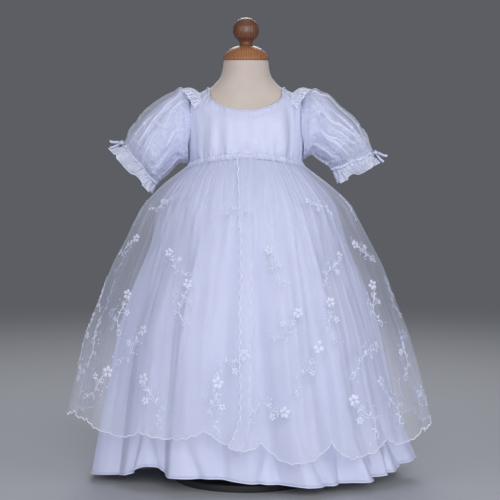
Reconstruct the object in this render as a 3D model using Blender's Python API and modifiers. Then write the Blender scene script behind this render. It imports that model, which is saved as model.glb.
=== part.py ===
"""A baby's christening gown on a limbless dress form.

Metres, +Z up, the gown faces -Y, and the origin is on the floor under the middle of the stand.
An angle round the upright axis starts at the centre front and grows towards +X.
A piece of cloth is an open surface on its outer side, given its wall inwards by Solidify.
"""

import math
from bisect import bisect_right
from collections import namedtuple

import bmesh
import bpy
from mathutils import Matrix, Vector

SATIN = 0.0012
ORGANZA = 0.0010
LACE = 0.0010
SEAM = 0.0003

# The dress form: a padded torso and neck, a turned wooden cap, and a plain pole on a round base.
FORM_BOTTOM = 0.300
NECK_TOP = 0.672
POLE_RADIUS = 0.0125
FLANGE_RADIUS = 0.030
FLANGE_THICKNESS = 0.006
BASE_RADIUS = 0.115
BASE_THICKNESS = 0.012
BASE_EDGE = 0.003
FORM_COLUMNS = 28
# How far the form lies inside its own sections where cloth covers it.
FORM_INSET = 0.0014

Section = namedtuple("Section", "height half_width half_depth power")
FORM = [
    Section(0.300, 0.0780, 0.0600, 2.2),
    Section(0.308, 0.0890, 0.0690, 2.2),
    Section(0.345, 0.0930, 0.0730, 2.2),
    Section(0.400, 0.0885, 0.0710, 2.2),
    Section(0.450, 0.0865, 0.0680, 2.2),
    Section(0.500, 0.0870, 0.0655, 2.2),
    Section(0.545, 0.0885, 0.0625, 2.3),
    Section(0.575, 0.0890, 0.0575, 2.3),
    Section(0.594, 0.0885, 0.0525, 2.3),
    Section(0.603, 0.0868, 0.0490, 2.3),
    Section(0.610, 0.0825, 0.0458, 2.3),
    Section(0.616, 0.0750, 0.0432, 2.2),
    Section(0.621, 0.0670, 0.0415, 2.1),
    Section(0.627, 0.0585, 0.0400, 2.1),
    Section(0.636, 0.0485, 0.0385, 2.0),
    Section(0.646, 0.0405, 0.0370, 2.0),
    Section(0.658, 0.0368, 0.0355, 2.0),
    Section(0.672, 0.0350, 0.0350, 2.0),
]

# The turned wooden pieces, from the top down: radius and height above each one's foot.
Turning = namedtuple("Turning", "radius up")
CAP_PROFILE = [
    Turning(0, 0.0225),
    Turning(0.0130, 0.0222),
    Turning(0.0220, 0.0190),
    Turning(0.0300, 0.0130),
    Turning(0.0345, 0.0075),
    Turning(0.0363, 0.0039),
    Turning(0.0372, 0.0024),
    Turning(0.0363, 0.0009),
    Turning(0.0332, 0),
    Turning(0, 0),
]
KNOB_PROFILE = [
    Turning(0, 0.0445),
    Turning(0.0086, 0.0426),
    Turning(0.0156, 0.0373),
    Turning(0.0198, 0.0295),
    Turning(0.0204, 0.0220),
    Turning(0.0178, 0.0138),
    Turning(0.0109, 0.0066),
    Turning(0.0100, 0.0035),
    Turning(0.0125, 0),
    Turning(0, 0),
]
BUTTON_PROFILE = [
    Turning(0, 0.0020),
    Turning(0.0022, 0.0020),
    Turning(0.0030, 0.0026),
    Turning(0.0038, 0.0024),
    Turning(0.0042, 0.0014),
    Turning(0.0036, 0.0004),
    Turning(0, 0),
]
BUTTON_HEIGHTS = (0.535, 0.566, 0.597)

# The bodice lies over the form with this much air inside its wall.
BODICE_AIR = 0.0018
BODICE_EASE = 0.0012
BODICE_SOFT_FOLDS = 11
BODICE_FULLEST = (0.545, 0.560)
BODICE_CLOSE = 0.600
NECKLINE_COLUMNS = 8
SHOULDER_COLUMNS = 4
BODICE_ROWS = 9
WAIST_SIDE = 0.504
WAIST_RISE = 0.018
WAIST_GAP = 0.0008
NECK_POINT = 0.6255
NECKLINE_FRONT = 0.5905
NECKLINE_BACK = 0.612
NECKLINE_SHARE = 0.58
SIDE_SEAM_SHARE = 0.28

# The armhole is an upright ellipse on the side of the body.
ARMHOLE_MIDDLE = 0.566
ARMHOLE_HALF_HEIGHT = 0.0415
ARMHOLE_HALF_DEPTH = 0.0215
ARMHOLE_GAP = 0.0012
UNDERSIDE_INSET = 0.8
UNDERSLEEVE_MARGIN = 0.0025
SLEEVE_MARGIN = 0.0043

BINDING_RADIUS = 0.0016
BINDING_OPENING = 0.02
TRIM_HEIGHT = 0.0065
TRIM_DEPTH = 0.0022
TRIM_PUCKERS = 28
# The trim's section: shares of its depth outwards and of its height upwards.
TRIM_SECTION = ((0, 0), (0.85, 0.1), (0.85, 0.9), (0, 1))

# A sleeve's sections, from the armhole to the gathered cuff: how far out and how high its top
# and its underside are, its half depth from front to back, and how much further in the satin is.
Cuff = namedtuple("Cuff", "place top_out top_up under_out under_up half_depth satin_in")
SLEEVE_LEFT = [
    Cuff(0, 0.0900, 0.6110, 0.0900, 0.5190, 0.0258, 0.0018),
    Cuff(1, 0.1065, 0.6255, 0.1010, 0.5130, 0.0400, 0.0050),
    Cuff(2, 0.1215, 0.6205, 0.1090, 0.5070, 0.0500, 0.0080),
    Cuff(3, 0.1400, 0.6095, 0.1180, 0.4980, 0.0550, 0.0095),
    Cuff(4, 0.1640, 0.5885, 0.1290, 0.4885, 0.0540, 0.0090),
    Cuff(5, 0.1860, 0.5570, 0.1385, 0.4815, 0.0430, 0.0070),
    Cuff(5.7, 0.1925, 0.5400, 0.1415, 0.4790, 0.0262, 0.0044),
    Cuff(6, 0.1945, 0.5360, 0.1430, 0.4765, 0.0250, 0.0044),
]
SLEEVE_RIGHT = [
    Cuff(0, 0.0900, 0.6110, 0.0900, 0.5230, 0.0258, 0.0018),
    Cuff(1, 0.1130, 0.6235, 0.0985, 0.5225, 0.0400, 0.0050),
    Cuff(2, 0.1290, 0.6200, 0.1060, 0.5210, 0.0500, 0.0080),
    Cuff(3, 0.1500, 0.6000, 0.1145, 0.5150, 0.0550, 0.0095),
    Cuff(4, 0.1740, 0.5785, 0.1240, 0.5100, 0.0530, 0.0090),
    Cuff(5, 0.1925, 0.5495, 0.1315, 0.5055, 0.0420, 0.0070),
    Cuff(5.7, 0.2000, 0.5275, 0.1365, 0.5020, 0.0262, 0.0044),
    Cuff(6, 0.2010, 0.5225, 0.1380, 0.4985, 0.0250, 0.0044),
]
# Where each cuff's frill ends.
FRILL_EDGE = {
    "left": Cuff(7, 0.2155, 0.5290, 0.1535, 0.4640, 0.0330, 0),
    "right": Cuff(7, 0.2090, 0.5075, 0.1510, 0.4790, 0.0330, 0),
}
SLEEVE_COLUMNS = 22
UNDERSLEEVE_COLUMNS = 18
SLEEVE_PLACES = (0, 0.6, 1.5, 2.6, 3.8, 4.9, 5.7, 6)
BAND_PLACES = (5.75, 5.97)
FRILL_COLUMNS = 40
FRILL_WAVE = 0.0022
HEAD_GATHER = 0.0008
HEAD_GATHERS_END = 2.4
CUFF_GATHER = 0.0009
CUFF_GATHERS_START = 3.6
BAND_THICKNESS = 0.0012
BOW_KNOT = 0.0021
BOW_LOOP = 0.0085
BOW_TAIL = 0.0130
BOW_RIBBON = 0.0046
BOW_WALL = 0.0008
BOW_LOOP_HEIGHT = 0.0026
BOW_TAIL_SPREAD = 0.0034
BOW_START = 0.0008
BOW_TAILS = {"left": (0.97, -0.10), "right": (0.86, -0.50)}

# The shoulder frill's inner edge runs over the shoulder, this far out and between these depths.
SHOULDER_FRILL_OUT = 0.0660
SHOULDER_FRILL_FRONT = -0.040
SHOULDER_FRILL_BACK = 0.032
SHOULDER_FRILL_WIDTH = 0.026
SHOULDER_FRILL_WAVES = 7
SHOULDER_FRILL_STAND = 0.003
SHOULDER_FRILL_WAVE = 0.0016
SHOULDER_FRILL_SPREAD = 0.004

# Each skirt's sections, from the waist seam (drop 0) to its hem (drop 1), at its folds' crests.
# A section's middle moves a little to one side as the skirt falls.
Ring = namedtuple("Ring", "drop half_width half_depth middle")
SATIN_RINGS = [
    Ring(0.000, 0.0912, 0.0690, 0),
    Ring(0.025, 0.1000, 0.0770, 0),
    Ring(0.060, 0.1170, 0.0930, 0),
    Ring(0.110, 0.1370, 0.1070, 0.0010),
    Ring(0.165, 0.1470, 0.1160, 0.0025),
    Ring(0.240, 0.1560, 0.1240, 0.0045),
    Ring(0.350, 0.1780, 0.1360, 0.0040),
    Ring(0.440, 0.1955, 0.1450, 0.0032),
    Ring(0.550, 0.2125, 0.1540, 0.0032),
    Ring(0.660, 0.2235, 0.1610, 0.0030),
    Ring(0.770, 0.2355, 0.1660, 0.0035),
    Ring(0.870, 0.2480, 0.1710, 0.0065),
    Ring(1.000, 0.2665, 0.1770, 0.0130),
]
ORGANZA_RINGS = [
    Ring(0.000, 0.0946, 0.0724, 0),
    Ring(0.020, 0.1050, 0.0830, 0),
    Ring(0.065, 0.1290, 0.1050, 0),
    Ring(0.110, 0.1490, 0.1210, 0.0008),
    Ring(0.155, 0.1665, 0.1340, 0.0010),
    Ring(0.205, 0.1780, 0.1440, 0.0010),
    Ring(0.300, 0.1975, 0.1590, 0.0026),
    Ring(0.395, 0.2180, 0.1720, 0.0030),
    Ring(0.535, 0.2400, 0.1860, 0.0020),
    Ring(0.675, 0.2618, 0.1970, 0.0022),
    Ring(0.815, 0.2775, 0.2050, 0.0042),
    Ring(0.950, 0.2910, 0.2110, 0.0050),
    Ring(1.000, 0.2955, 0.2130, 0.0052),
]
SATIN_COLUMNS = 64
ORGANZA_COLUMNS = 88
SATIN_DROPS = (0, 0.03, 0.08, 0.16, 0.28, 0.44, 0.62, 0.82, 1)
ORGANZA_DROPS = (0, 0.025, 0.065, 0.13, 0.23, 0.36, 0.52, 0.70, 0.88, 1)
SATIN_GATHER = 0.0008
ORGANZA_GATHER = 0.0010
GATHERS_END = 0.30
WAIST_SQUARENESS = 0.2

# The hem's height at each angle, and for the organza the height between its scallops' points.
Hem = namedtuple("Hem", "angle height dip")
SATIN_HEM = [
    Hem(-180, 0.026, 0),
    Hem(-130, 0.020, 0),
    Hem(-92, 0.012, 0),
    Hem(-58, 0.022, 0),
    Hem(-44, 0.041, 0),
    Hem(-33, 0.030, 0),
    Hem(-18, 0.030, 0),
    Hem(0, 0.023, 0),
    Hem(28, 0.018, 0),
    Hem(50, 0.021, 0),
    Hem(72, 0.027, 0),
    Hem(92, 0.036, 0),
    Hem(130, 0.026, 0),
    Hem(180, 0.026, 0),
]
ORGANZA_HEM = [
    Hem(-180, 0.104, 0.018),
    Hem(-90, 0.110, 0.003),
    Hem(-75, 0.118, 0.002),
    Hem(-63, 0.118, 0.003),
    Hem(-54, 0.104, 0.006),
    Hem(-35, 0.108, 0.012),
    Hem(-13, 0.115, 0.015),
    Hem(3, 0.099, 0.026),
    Hem(14, 0.097, 0.034),
    Hem(25, 0.0955, 0.032),
    Hem(37, 0.0945, 0.028),
    Hem(48, 0.0935, 0.020),
    Hem(70, 0.098, 0.014),
    Hem(90, 0.104, 0.012),
    Hem(180, 0.104, 0.018),
]
# The scallops of each panel: the angle of one point between scallops, and their pitch.
Scallops = namedtuple("Scallops", "first pitch")
SCALLOPS = {
    "front_left": Scallops(-13.4, 21.8),
    "front_right": Scallops(3.4, 22.0),
    "back": Scallops(91.4, 21.0),
}

# The large folds: each one's angle at the waist and at the hem, its half width in degrees at the
# hem, its depth at the hem, and the drop where it begins.
Fold = namedtuple("Fold", "waist hem half_width depth start")
SATIN_FOLDS = [
    Fold(-69, -67, 6, 0.012, 0.15),
    Fold(-38, -36, 5, 0.016, 0.05),
    Fold(1, 9, 4, 0.013, 0.05),
    Fold(27, 35, 5, 0.015, 0.00),
    Fold(48, 52, 4, 0.010, 0.35),
    Fold(71, 72, 6, 0.013, 0.10),
    Fold(109, 108, 6, 0.013, 0.10),
    Fold(132, 131, 6, 0.014, 0.10),
    Fold(154, 153, 6, 0.013, 0.10),
    Fold(177, 177, 6, 0.014, 0.15),
    Fold(200, 201, 6, 0.013, 0.10),
    Fold(224, 225, 6, 0.014, 0.10),
    Fold(249, 247, 6, 0.012, 0.15),
]
ORGANZA_FOLDS = [
    Fold(-76, -77, 6, 0.011, 0.15),
    Fold(-50, -50, 6, 0.012, 0.10),
    Fold(-24, -26, 6, 0.012, 0.10),
    Fold(12, 14, 5, 0.012, 0.05),
    Fold(33, 37, 6, 0.012, 0.05),
    Fold(55, 58, 6, 0.012, 0.10),
    Fold(76, 79, 5, 0.010, 0.20),
    Fold(104, 101, 5, 0.010, 0.20),
    Fold(130, 129, 7, 0.013, 0.10),
    Fold(156, 156, 7, 0.013, 0.10),
    Fold(181, 181, 7, 0.013, 0.10),
    Fold(206, 207, 7, 0.013, 0.10),
    Fold(231, 232, 7, 0.013, 0.10),
    Fold(256, 257, 6, 0.011, 0.15),
]

# The organza opens down the front. The right front laps over the left one.
Edge = namedtuple("Edge", "drop right left")
FRONT_EDGES = [
    Edge(0.00, -0.0095, 0.0055),
    Edge(0.50, -0.0100, 0.0055),
    Edge(0.86, -0.0115, 0.0020),
    Edge(1.00, -0.0310, -0.0130),
]
LAP_LIFT = 0.0012
LAP_FADE = 16

Colour = namedtuple("Colour", "red green blue")
SATIN_WHITE = Colour(0.78, 0.79, 0.90)
ORGANZA_WHITE = Colour(0.74, 0.76, 0.88)
LACE_WHITE = Colour(0.80, 0.82, 0.90)
JERSEY_CREAM = Colour(0.62, 0.55, 0.50)
CAP_WOOD = Colour(0.30, 0.13, 0.06)
STAND_BLACK = Colour(0.02, 0.02, 0.02)


def along(table, column, at):
    """A column's value at a place between two rows, on a smooth curve that never overshoots."""
    places = [row[0] for row in table]
    values = [getattr(row, column) for row in table]
    last = len(table) - 1

    def secant(k):
        return (values[k + 1] - values[k]) / (places[k + 1] - places[k])

    def slope(k):
        before, after = secant(max(k - 1, 0)), secant(min(k, last - 1))
        return 0 if before * after <= 0 else 2 * before * after / (before + after)

    k = min(max(bisect_right(places, at) - 1, 0), last - 1)
    gap = places[k + 1] - places[k]
    u = min(max((at - places[k]) / gap, 0), 1)
    return (
        values[k] * (1 + 2 * u) * (1 - u) ** 2
        + values[k + 1] * u * u * (3 - 2 * u)
        + slope(k) * gap * u * (1 - u) ** 2
        - slope(k + 1) * gap * u * u * (1 - u)
    )


def share(start, end, value):
    """How far a value is from start to end, eased, and held between 0 and 1."""
    u = min(max((value - start) / (end - start), 0), 1)
    return u * u * (3 - 2 * u)


def signed_power(value, power):
    return math.copysign(abs(value) ** power, value)


def form_point(angle, height):
    """A point of the form's surface at an angle in radians and a height."""
    power = 2 / along(FORM, "power", height)
    x = along(FORM, "half_width", height) * signed_power(math.sin(angle), power)
    y = -along(FORM, "half_depth", height) * signed_power(math.cos(angle), power)
    return Vector((x, y, height))


def on_form(angle, height, proud):
    """A point proud of the form's surface, square to it."""
    step = 0.001
    across = form_point(angle + step, height) - form_point(angle - step, height)
    up = form_point(angle, height + step) - form_point(angle, height - step)
    return form_point(angle, height) + proud * across.cross(up).normalized()


def angle_at_depth(depth, height):
    """The angle at which the form's surface at this height is as far forward as depth."""
    power = along(FORM, "power", height) / 2
    return math.acos(min(abs(depth) / along(FORM, "half_depth", height), 1) ** power)


def height_over(x, y):
    """The height of the form's upper surface over a point of the floor."""
    low, high = 0.55, NECK_TOP
    for _ in range(40):
        middle = (low + high) / 2
        power = along(FORM, "power", middle)
        reach = abs(x / along(FORM, "half_width", middle)) ** power
        reach += abs(y / along(FORM, "half_depth", middle)) ** power
        low, high = (middle, high) if reach < 1 else (low, middle)
    return low


def waist_height(angle):
    return WAIST_SIDE + WAIST_RISE * max(math.cos(angle), 0) ** 1.5


def finish(name, kind, place):
    """Gives a named object its material and files it among the pieces."""
    thing = bpy.data.objects[name]
    finishes = {
        "satin": (SATIN_WHITE, 0.35, 0.0),
        "organza": (ORGANZA_WHITE, 0.55, 0.0),
        "lace": (LACE_WHITE, 0.75, 0.0),
        "jersey": (JERSEY_CREAM, 0.85, 0.0),
        "wood": (CAP_WOOD, 0.35, 0.0),
        "stand": (STAND_BLACK, 0.45, 0.6),
        "pearl": (LACE_WHITE, 0.25, 0.0),
    }
    colour, roughness, metallic = finishes[kind]
    material = bpy.data.materials.new(name + "_" + kind)
    material.use_nodes = True
    shader = material.node_tree.nodes["Principled BSDF"]
    shader.inputs["Base Color"].default_value = (*colour, 1)
    shader.inputs["Roughness"].default_value = roughness
    shader.inputs["Metallic"].default_value = metallic
    thing.data.materials.append(material)
    place.objects.link(thing)
    return thing


def surface(name, rows, ring=False):
    """An object whose mesh joins rows of points into a sheet, closed round as a ring or open."""
    shape = bmesh.new()
    lines = [[shape.verts.new(point) for point in row] for row in rows]
    columns = len(rows[0])
    for upper, lower in zip(lines, lines[1:]):
        for k in range(columns if ring else columns - 1):
            n = (k + 1) % columns
            shape.faces.new((upper[k], lower[k], lower[n], upper[n]))
    mesh = bpy.data.meshes.new(name)
    shape.to_mesh(mesh)
    shape.free()
    mesh.shade_smooth()
    return bpy.data.objects.new(name, mesh)


def cloth(name, rows, thickness, kind, place, ring=False):
    """A sheet of cloth: its outer side through the rows of points, and its wall inside them."""
    sheet = surface(name, rows, ring)
    wall = sheet.modifiers.new("wall", "SOLIDIFY")
    wall.thickness = thickness
    wall.offset = -1
    return finish(name, kind, place)


def solid_loft(name, rows, kind, place):
    """A closed solid through rings of points, with a flat face on each end."""
    loft = surface(name, rows, ring=True)
    shape = bmesh.new()
    shape.from_mesh(loft.data)
    bmesh.ops.holes_fill(shape, edges=shape.edges)
    bmesh.ops.recalc_face_normals(shape, faces=shape.faces)
    shape.to_mesh(loft.data)
    shape.free()
    return finish(name, kind, place)


def turned(name, profile, kind, place, steps=32):
    """A solid turned round the upright axis from its profile, listed from the top down."""
    shape = bmesh.new()
    points = [shape.verts.new((radius, 0, height)) for radius, height in profile]
    for a, b in zip(points, points[1:]):
        shape.edges.new((a, b))
    mesh = bpy.data.meshes.new(name)
    shape.to_mesh(mesh)
    shape.free()
    thing = bpy.data.objects.new(name, mesh)
    screw = thing.modifiers.new("turn", "SCREW")
    screw.steps = steps
    screw.render_steps = steps
    screw.use_merge_vertices = True
    screw.merge_threshold = 0.0001
    return finish(name, kind, place)


def raised(profile, foot):
    return [(row.radius, foot + row.up) for row in profile]


def arc(middle_radius, middle_height, radius, start, end, count):
    """Points of an arc in a turned profile, its angles in degrees from level."""
    turns = [math.radians(start + (end - start) * k / count) for k in range(count + 1)]
    return [
        (middle_radius + radius * math.cos(t), middle_height + radius * math.sin(t))
        for t in turns
    ]


def make_form(place):
    heights = [row.height for row in FORM]
    between = [(a + b) / 2 for a, b in zip(heights[2:], heights[3:]) if b - a > 0.02]
    angles = [math.tau * k / FORM_COLUMNS for k in range(FORM_COLUMNS)]
    rings = []
    for height in sorted(heights + between, reverse=True):
        covered = share(0.630, 0.615, height) * share(FORM_BOTTOM, 0.308, height)
        rings.append([on_form(angle, height, -FORM_INSET * covered) for angle in angles])
    solid_loft("form_torso", rings, "jersey", place)
    turned("form_neck_cap", raised(CAP_PROFILE, NECK_TOP + SEAM), "wood", place, 24)
    cap_top = NECK_TOP + SEAM + CAP_PROFILE[0].up
    turned("form_knob", raised(KNOB_PROFILE, cap_top + SEAM), "wood", place, 20)


def make_stand(place):
    top, middle = BASE_THICKNESS, BASE_RADIUS - BASE_EDGE
    base = [(0, top)] + arc(middle, top - BASE_EDGE, BASE_EDGE, 90, 0, 2)
    base += arc(middle, BASE_EDGE, BASE_EDGE, 0, -90, 2) + [(0, 0)]
    turned("stand_base", base, "stand", place, 36)
    foot, head = top + SEAM, FORM_BOTTOM - SEAM
    pole = [(0, head), (FLANGE_RADIUS, head), (FLANGE_RADIUS, head - FLANGE_THICKNESS)]
    pole += [(POLE_RADIUS, head - FLANGE_THICKNESS), (POLE_RADIUS, foot + FLANGE_THICKNESS)]
    pole += [(FLANGE_RADIUS, foot + FLANGE_THICKNESS), (FLANGE_RADIUS, foot), (0, foot)]
    turned("stand_pole", pole, "stand", place, 20)


def bodice_proud(angle, height):
    """How far the bodice's outer side stands off the form: most at the front, above the waist."""
    front = max(math.cos(angle), 0)
    low, high = BODICE_FULLEST
    belly = share(WAIST_SIDE, low, height) * share(BODICE_CLOSE, high, height)
    soft = 0.5 + 0.5 * math.cos(BODICE_SOFT_FOLDS * angle + 0.7)
    ease = BODICE_EASE * (belly * (0.6 + 1.2 * front * soft) + 0.4 * front * soft)
    return BODICE_AIR + SATIN + ease * share(BODICE_CLOSE + 0.01, BODICE_CLOSE - 0.01, height)


def on_bodice(angle, height, proud=0.0):
    """A point on the bodice's outer side, or proud of it."""
    return on_form(angle, height, bodice_proud(angle, height) + proud)


def neckline_height(angle, low):
    return low + (NECK_POINT - low) * (1 - abs(math.cos(angle)) ** 3)


def armhole_edge(turn):
    """The armhole in angle and height: turn 0 is the underarm and pi is the shoulder end."""
    height = ARMHOLE_MIDDLE - ARMHOLE_HALF_HEIGHT * math.cos(turn)
    angle = angle_at_depth(ARMHOLE_HALF_DEPTH * math.sin(turn), height)
    seam = SEAM / 2 / along(FORM, "half_depth", height)
    return min(angle, math.pi / 2 - seam), height


def evenly(start, end, count):
    return [start + (end - start) * k / count for k in range(count + 1)]


# How far each column of a bodice quarter starts from the centre line.
BODICE_SHARES = evenly(0, NECKLINE_SHARE, NECKLINE_COLUMNS)
BODICE_SHARES += evenly(NECKLINE_SHARE, 1, SHOULDER_COLUMNS)[1:]


def bodice_half(low):
    """One quarter of the bodice in angle and height: rows up from the waist, columns outwards.

    The inner edge is the centre line, the outer one the side seam and then the armhole, and the
    top one the neckline and then the shoulder seam. A blend of the four fills the quarter.
    """

    def seam_angle(height):
        return math.pi / 2 - SEAM / 2 / along(FORM, "half_depth", height)

    def centre(t):
        return Vector((0, waist_end + (neckline_height(0, low) - waist_end) * t))

    def outer(t):
        if t <= SIDE_SEAM_SHARE:
            under = ARMHOLE_MIDDLE - ARMHOLE_HALF_HEIGHT
            foot = WAIST_SIDE + WAIST_GAP
            height = foot + (under - foot) * t / SIDE_SEAM_SHARE
            return Vector((seam_angle(height), height))
        turn = math.pi * (t - SIDE_SEAM_SHARE) / (1 - SIDE_SEAM_SHARE)
        return Vector(armhole_edge(turn))

    def bottom(s):
        angle = s * seam_angle(WAIST_SIDE)
        rise = waist_height(angle) if low == NECKLINE_FRONT else WAIST_SIDE
        return Vector((angle, rise + WAIST_GAP))

    def top(s):
        shoulder = ARMHOLE_MIDDLE + ARMHOLE_HALF_HEIGHT
        if s <= NECKLINE_SHARE:
            angle = s / NECKLINE_SHARE * seam_angle(NECK_POINT)
            return Vector((angle, neckline_height(angle, low)))
        u = (s - NECKLINE_SHARE) / (1 - NECKLINE_SHARE)
        height = NECK_POINT + (shoulder - NECK_POINT) * u
        return Vector((seam_angle(height), height))

    waist_end = bottom(0).y
    rows = []
    for i in range(BODICE_ROWS + 1):
        t = i / BODICE_ROWS
        row = []
        for s in BODICE_SHARES:
            sides = (1 - s) * centre(t) + s * outer(t)
            ends = (1 - t) * bottom(s) + t * top(s)
            corners = (1 - t) * ((1 - s) * bottom(0) + s * bottom(1))
            corners += t * ((1 - s) * top(0) + s * top(1))
            row.append(sides + ends - corners)
        rows.append(row)
    return rows


def make_bodice(place):
    front = bodice_half(NECKLINE_FRONT)
    rows = []
    for row in reversed(front):
        left = [on_bodice(-p.x, p.y) for p in reversed(row[1:])]
        rows.append(left + [on_bodice(p.x, p.y) for p in row])
    cloth("bodice_front", rows, SATIN, "satin", place)
    back = bodice_half(NECKLINE_BACK)
    for side, sign in (("left", -1), ("right", 1)):
        rows = []
        for row in reversed(back):
            opening = SEAM / 2 / along(FORM, "half_width", row[0].y)
            turns = [math.pi - max(p.x, opening) for p in row]
            line = [on_bodice(sign * turn, p.y) for turn, p in zip(turns, row)]
            rows.append(line if sign < 0 else line[::-1])
        cloth("bodice_back_" + side, rows, SATIN, "satin", place)


def tube_curve(name, points, radius, kind, place, resolution=1):
    """A round tube along a line of points, with its ends filled."""
    curve = bpy.data.curves.new(name, "CURVE")
    curve.dimensions = "3D"
    curve.bevel_depth = radius
    curve.bevel_resolution = resolution
    curve.use_fill_caps = True
    line = curve.splines.new("POLY")
    line.points.add(len(points) - 1)
    for spot, point in zip(line.points, points):
        spot.co = (*point, 1)
    bpy.data.objects.new(name, curve)
    return finish(name, kind, place)


def neckline_points(side):
    """The middle of the binding on one side, from the centre front to the back opening."""
    front, back = bodice_half(NECKLINE_FRONT), bodice_half(NECKLINE_BACK)
    turns = [[spot.x for spot in row[:NECKLINE_COLUMNS]] for row in front[-2:]]
    heights = [[spot.y for spot in row[:NECKLINE_COLUMNS]] for row in front[-2:]]
    for line, levels, row in zip(turns, heights, back[-2:]):
        line += [math.pi - max(spot.x, BINDING_OPENING) for spot in row[NECKLINE_COLUMNS::-1]]
        levels += [spot.y for spot in row[NECKLINE_COLUMNS::-1]]
    under, edge = [
        [on_bodice(side * turn, height) for turn, height in zip(line, levels)]
        for line, levels in zip(turns, heights)
    ]
    points = []
    for k, point in enumerate(edge):
        tangent = edge[min(k + 1, len(edge) - 1)] - edge[max(k - 1, 0)]
        up = (point - under[k]).normalized()
        away = side * tangent.cross(up).normalized()
        up = side * away.cross(tangent).normalized()
        points.append(point - away * SATIN / 2 + up * (BINDING_RADIUS + 3 * SEAM))
    return points


def make_neck_binding(place):
    """The rolled binding round the neckline, from one back edge round to the other."""
    points = neckline_points(-1)[:0:-1] + neckline_points(1)
    tube_curve("neck_binding", points, BINDING_RADIUS, "satin", place)


def make_waist_trim(place):
    """The ruched band over the waist seam, in one ring with a pucker every few millimetres."""
    columns = 2 * TRIM_PUCKERS
    rows = [[] for _ in TRIM_SECTION]
    for k in range(columns):
        angle = math.tau * k / columns
        puff = 1 if k % 2 else 0.55
        foot = waist_height(angle) + WAIST_GAP
        for row, (out, up) in zip(rows, TRIM_SECTION):
            height = foot + up * TRIM_HEIGHT * (0.92 + 0.08 * puff)
            row.append(on_bodice(angle, height, 2 * SEAM + TRIM_DEPTH * out * puff))
    shape = bmesh.new()
    lines = [[shape.verts.new(point) for point in row] for row in rows]
    for inner, outer in zip(lines, lines[1:] + lines[:1]):
        for k in range(columns):
            n = (k + 1) % columns
            shape.faces.new((inner[k], inner[n], outer[n], outer[k]))
    mesh = bpy.data.meshes.new("waist_trim")
    shape.to_mesh(mesh)
    shape.free()
    bpy.data.objects.new("waist_trim", mesh)
    finish("waist_trim", "satin", place)


def make_buttons(place):
    """Flat buttons down the back opening, sewn to the left back."""
    for number, height in enumerate(BUTTON_HEIGHTS, 1):
        name = f"back_button_{number}"
        button = turned(name, raised(BUTTON_PROFILE, 0), "pearl", place, 12)
        spot = on_bodice(math.pi, height, SEAM)
        away = on_bodice(math.pi, height, 0.01) - on_bodice(math.pi, height)
        button.location = spot
        button.rotation_euler = away.to_track_quat("Z", "Y").to_euler()


def sleeve_point(table, side, place_along, turn, satin=False, swell=0.0):
    """A point of a sleeve: turn 0 is its top and a quarter turn its front."""
    row = {column: along(table, column, place_along) for column in Cuff._fields[1:]}
    top = Vector((row["top_out"], 0, row["top_up"]))
    under = Vector((row["under_out"], 0, row["under_up"]))
    middle, reach = (top + under) / 2, (top - under) / 2
    inset = row["satin_in"] if satin else 0
    half = reach.length + swell
    forward = row["half_depth"] + swell - inset
    lift = half * math.cos(turn)
    lift -= inset * math.cos(turn) * (1 if math.cos(turn) > 0 else UNDERSIDE_INSET)
    point = middle + reach.normalized() * lift
    point.y -= forward * math.sin(turn)
    point.x *= side
    return point


def armhole_ring(side, turn, margin):
    """A point of the sleeve's seam, lying on the bodice round the armhole."""
    y = -(ARMHOLE_HALF_DEPTH + margin) * math.sin(turn)
    height = ARMHOLE_MIDDLE + (ARMHOLE_HALF_HEIGHT + margin) * math.cos(turn)
    angle = angle_at_depth(y, height)
    if y > 0:
        angle = math.pi - angle
    point = on_bodice(angle, height, ARMHOLE_GAP)
    point.x *= side
    return point


def sleeve_rows(table, side, margin, satin):
    """Rings of a sleeve from armhole to cuff, the first one fitted to the body."""
    columns = UNDERSLEEVE_COLUMNS if satin else SLEEVE_COLUMNS
    rows = []
    for place_along in SLEEVE_PLACES:
        row = []
        for k in range(columns):
            turn = math.tau * k / columns
            pleat = 1 if k % 2 else -1
            gather = HEAD_GATHER * share(HEAD_GATHERS_END, 0.6, place_along)
            gather *= share(0, 0.5, place_along)
            gather += CUFF_GATHER * share(CUFF_GATHERS_START, 5.6, place_along)
            swell = 0 if satin else pleat * gather
            point = sleeve_point(table, side, place_along, turn, satin, swell)
            if place_along == 0:
                point = armhole_ring(side, turn, margin)
            row.append(point)
        rows.append(row if side < 0 else row[::-1])
    return rows


def make_sleeves(place):
    for name, side, table in (("left", -1, SLEEVE_LEFT), ("right", 1, SLEEVE_RIGHT)):
        rows = sleeve_rows(table, side, UNDERSLEEVE_MARGIN, True)
        cloth("undersleeve_" + name, rows, ORGANZA, "satin", place, ring=True)
        rows = sleeve_rows(table, side, SLEEVE_MARGIN, False)
        cloth("sleeve_" + name, rows, ORGANZA, "organza", place, ring=True)
        make_cuff(name, side, table, place)


def make_cuff(name, side, table, place):
    """The elastic band round the gathers, and the frill past them."""
    whole = table + [FRILL_EDGE[name]]
    rows = []
    for place_along in (6.035, 7):
        row = []
        for k in range(FRILL_COLUMNS):
            turn = math.tau * k / FRILL_COLUMNS
            wave = FRILL_WAVE * math.cos(math.pi * k / 2) * share(5.9, 6.8, place_along)
            row.append(sleeve_point(whole, side, place_along, turn, swell=wave))
        rows.append(row if side < 0 else row[::-1])
    cloth("cuff_frill_" + name, rows, ORGANZA, "organza", place, ring=True)

    proud = CUFF_GATHER + SEAM + BAND_THICKNESS
    rows = []
    for place_along in BAND_PLACES:
        row = []
        for k in range(SLEEVE_COLUMNS):
            turn = math.tau * k / SLEEVE_COLUMNS
            point = sleeve_point(table, side, place_along, turn, swell=proud)
            row.append(point)
        rows.append(row if side < 0 else row[::-1])
    cloth("cuff_band_" + name, rows, BAND_THICKNESS, "organza", place, ring=True)


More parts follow.
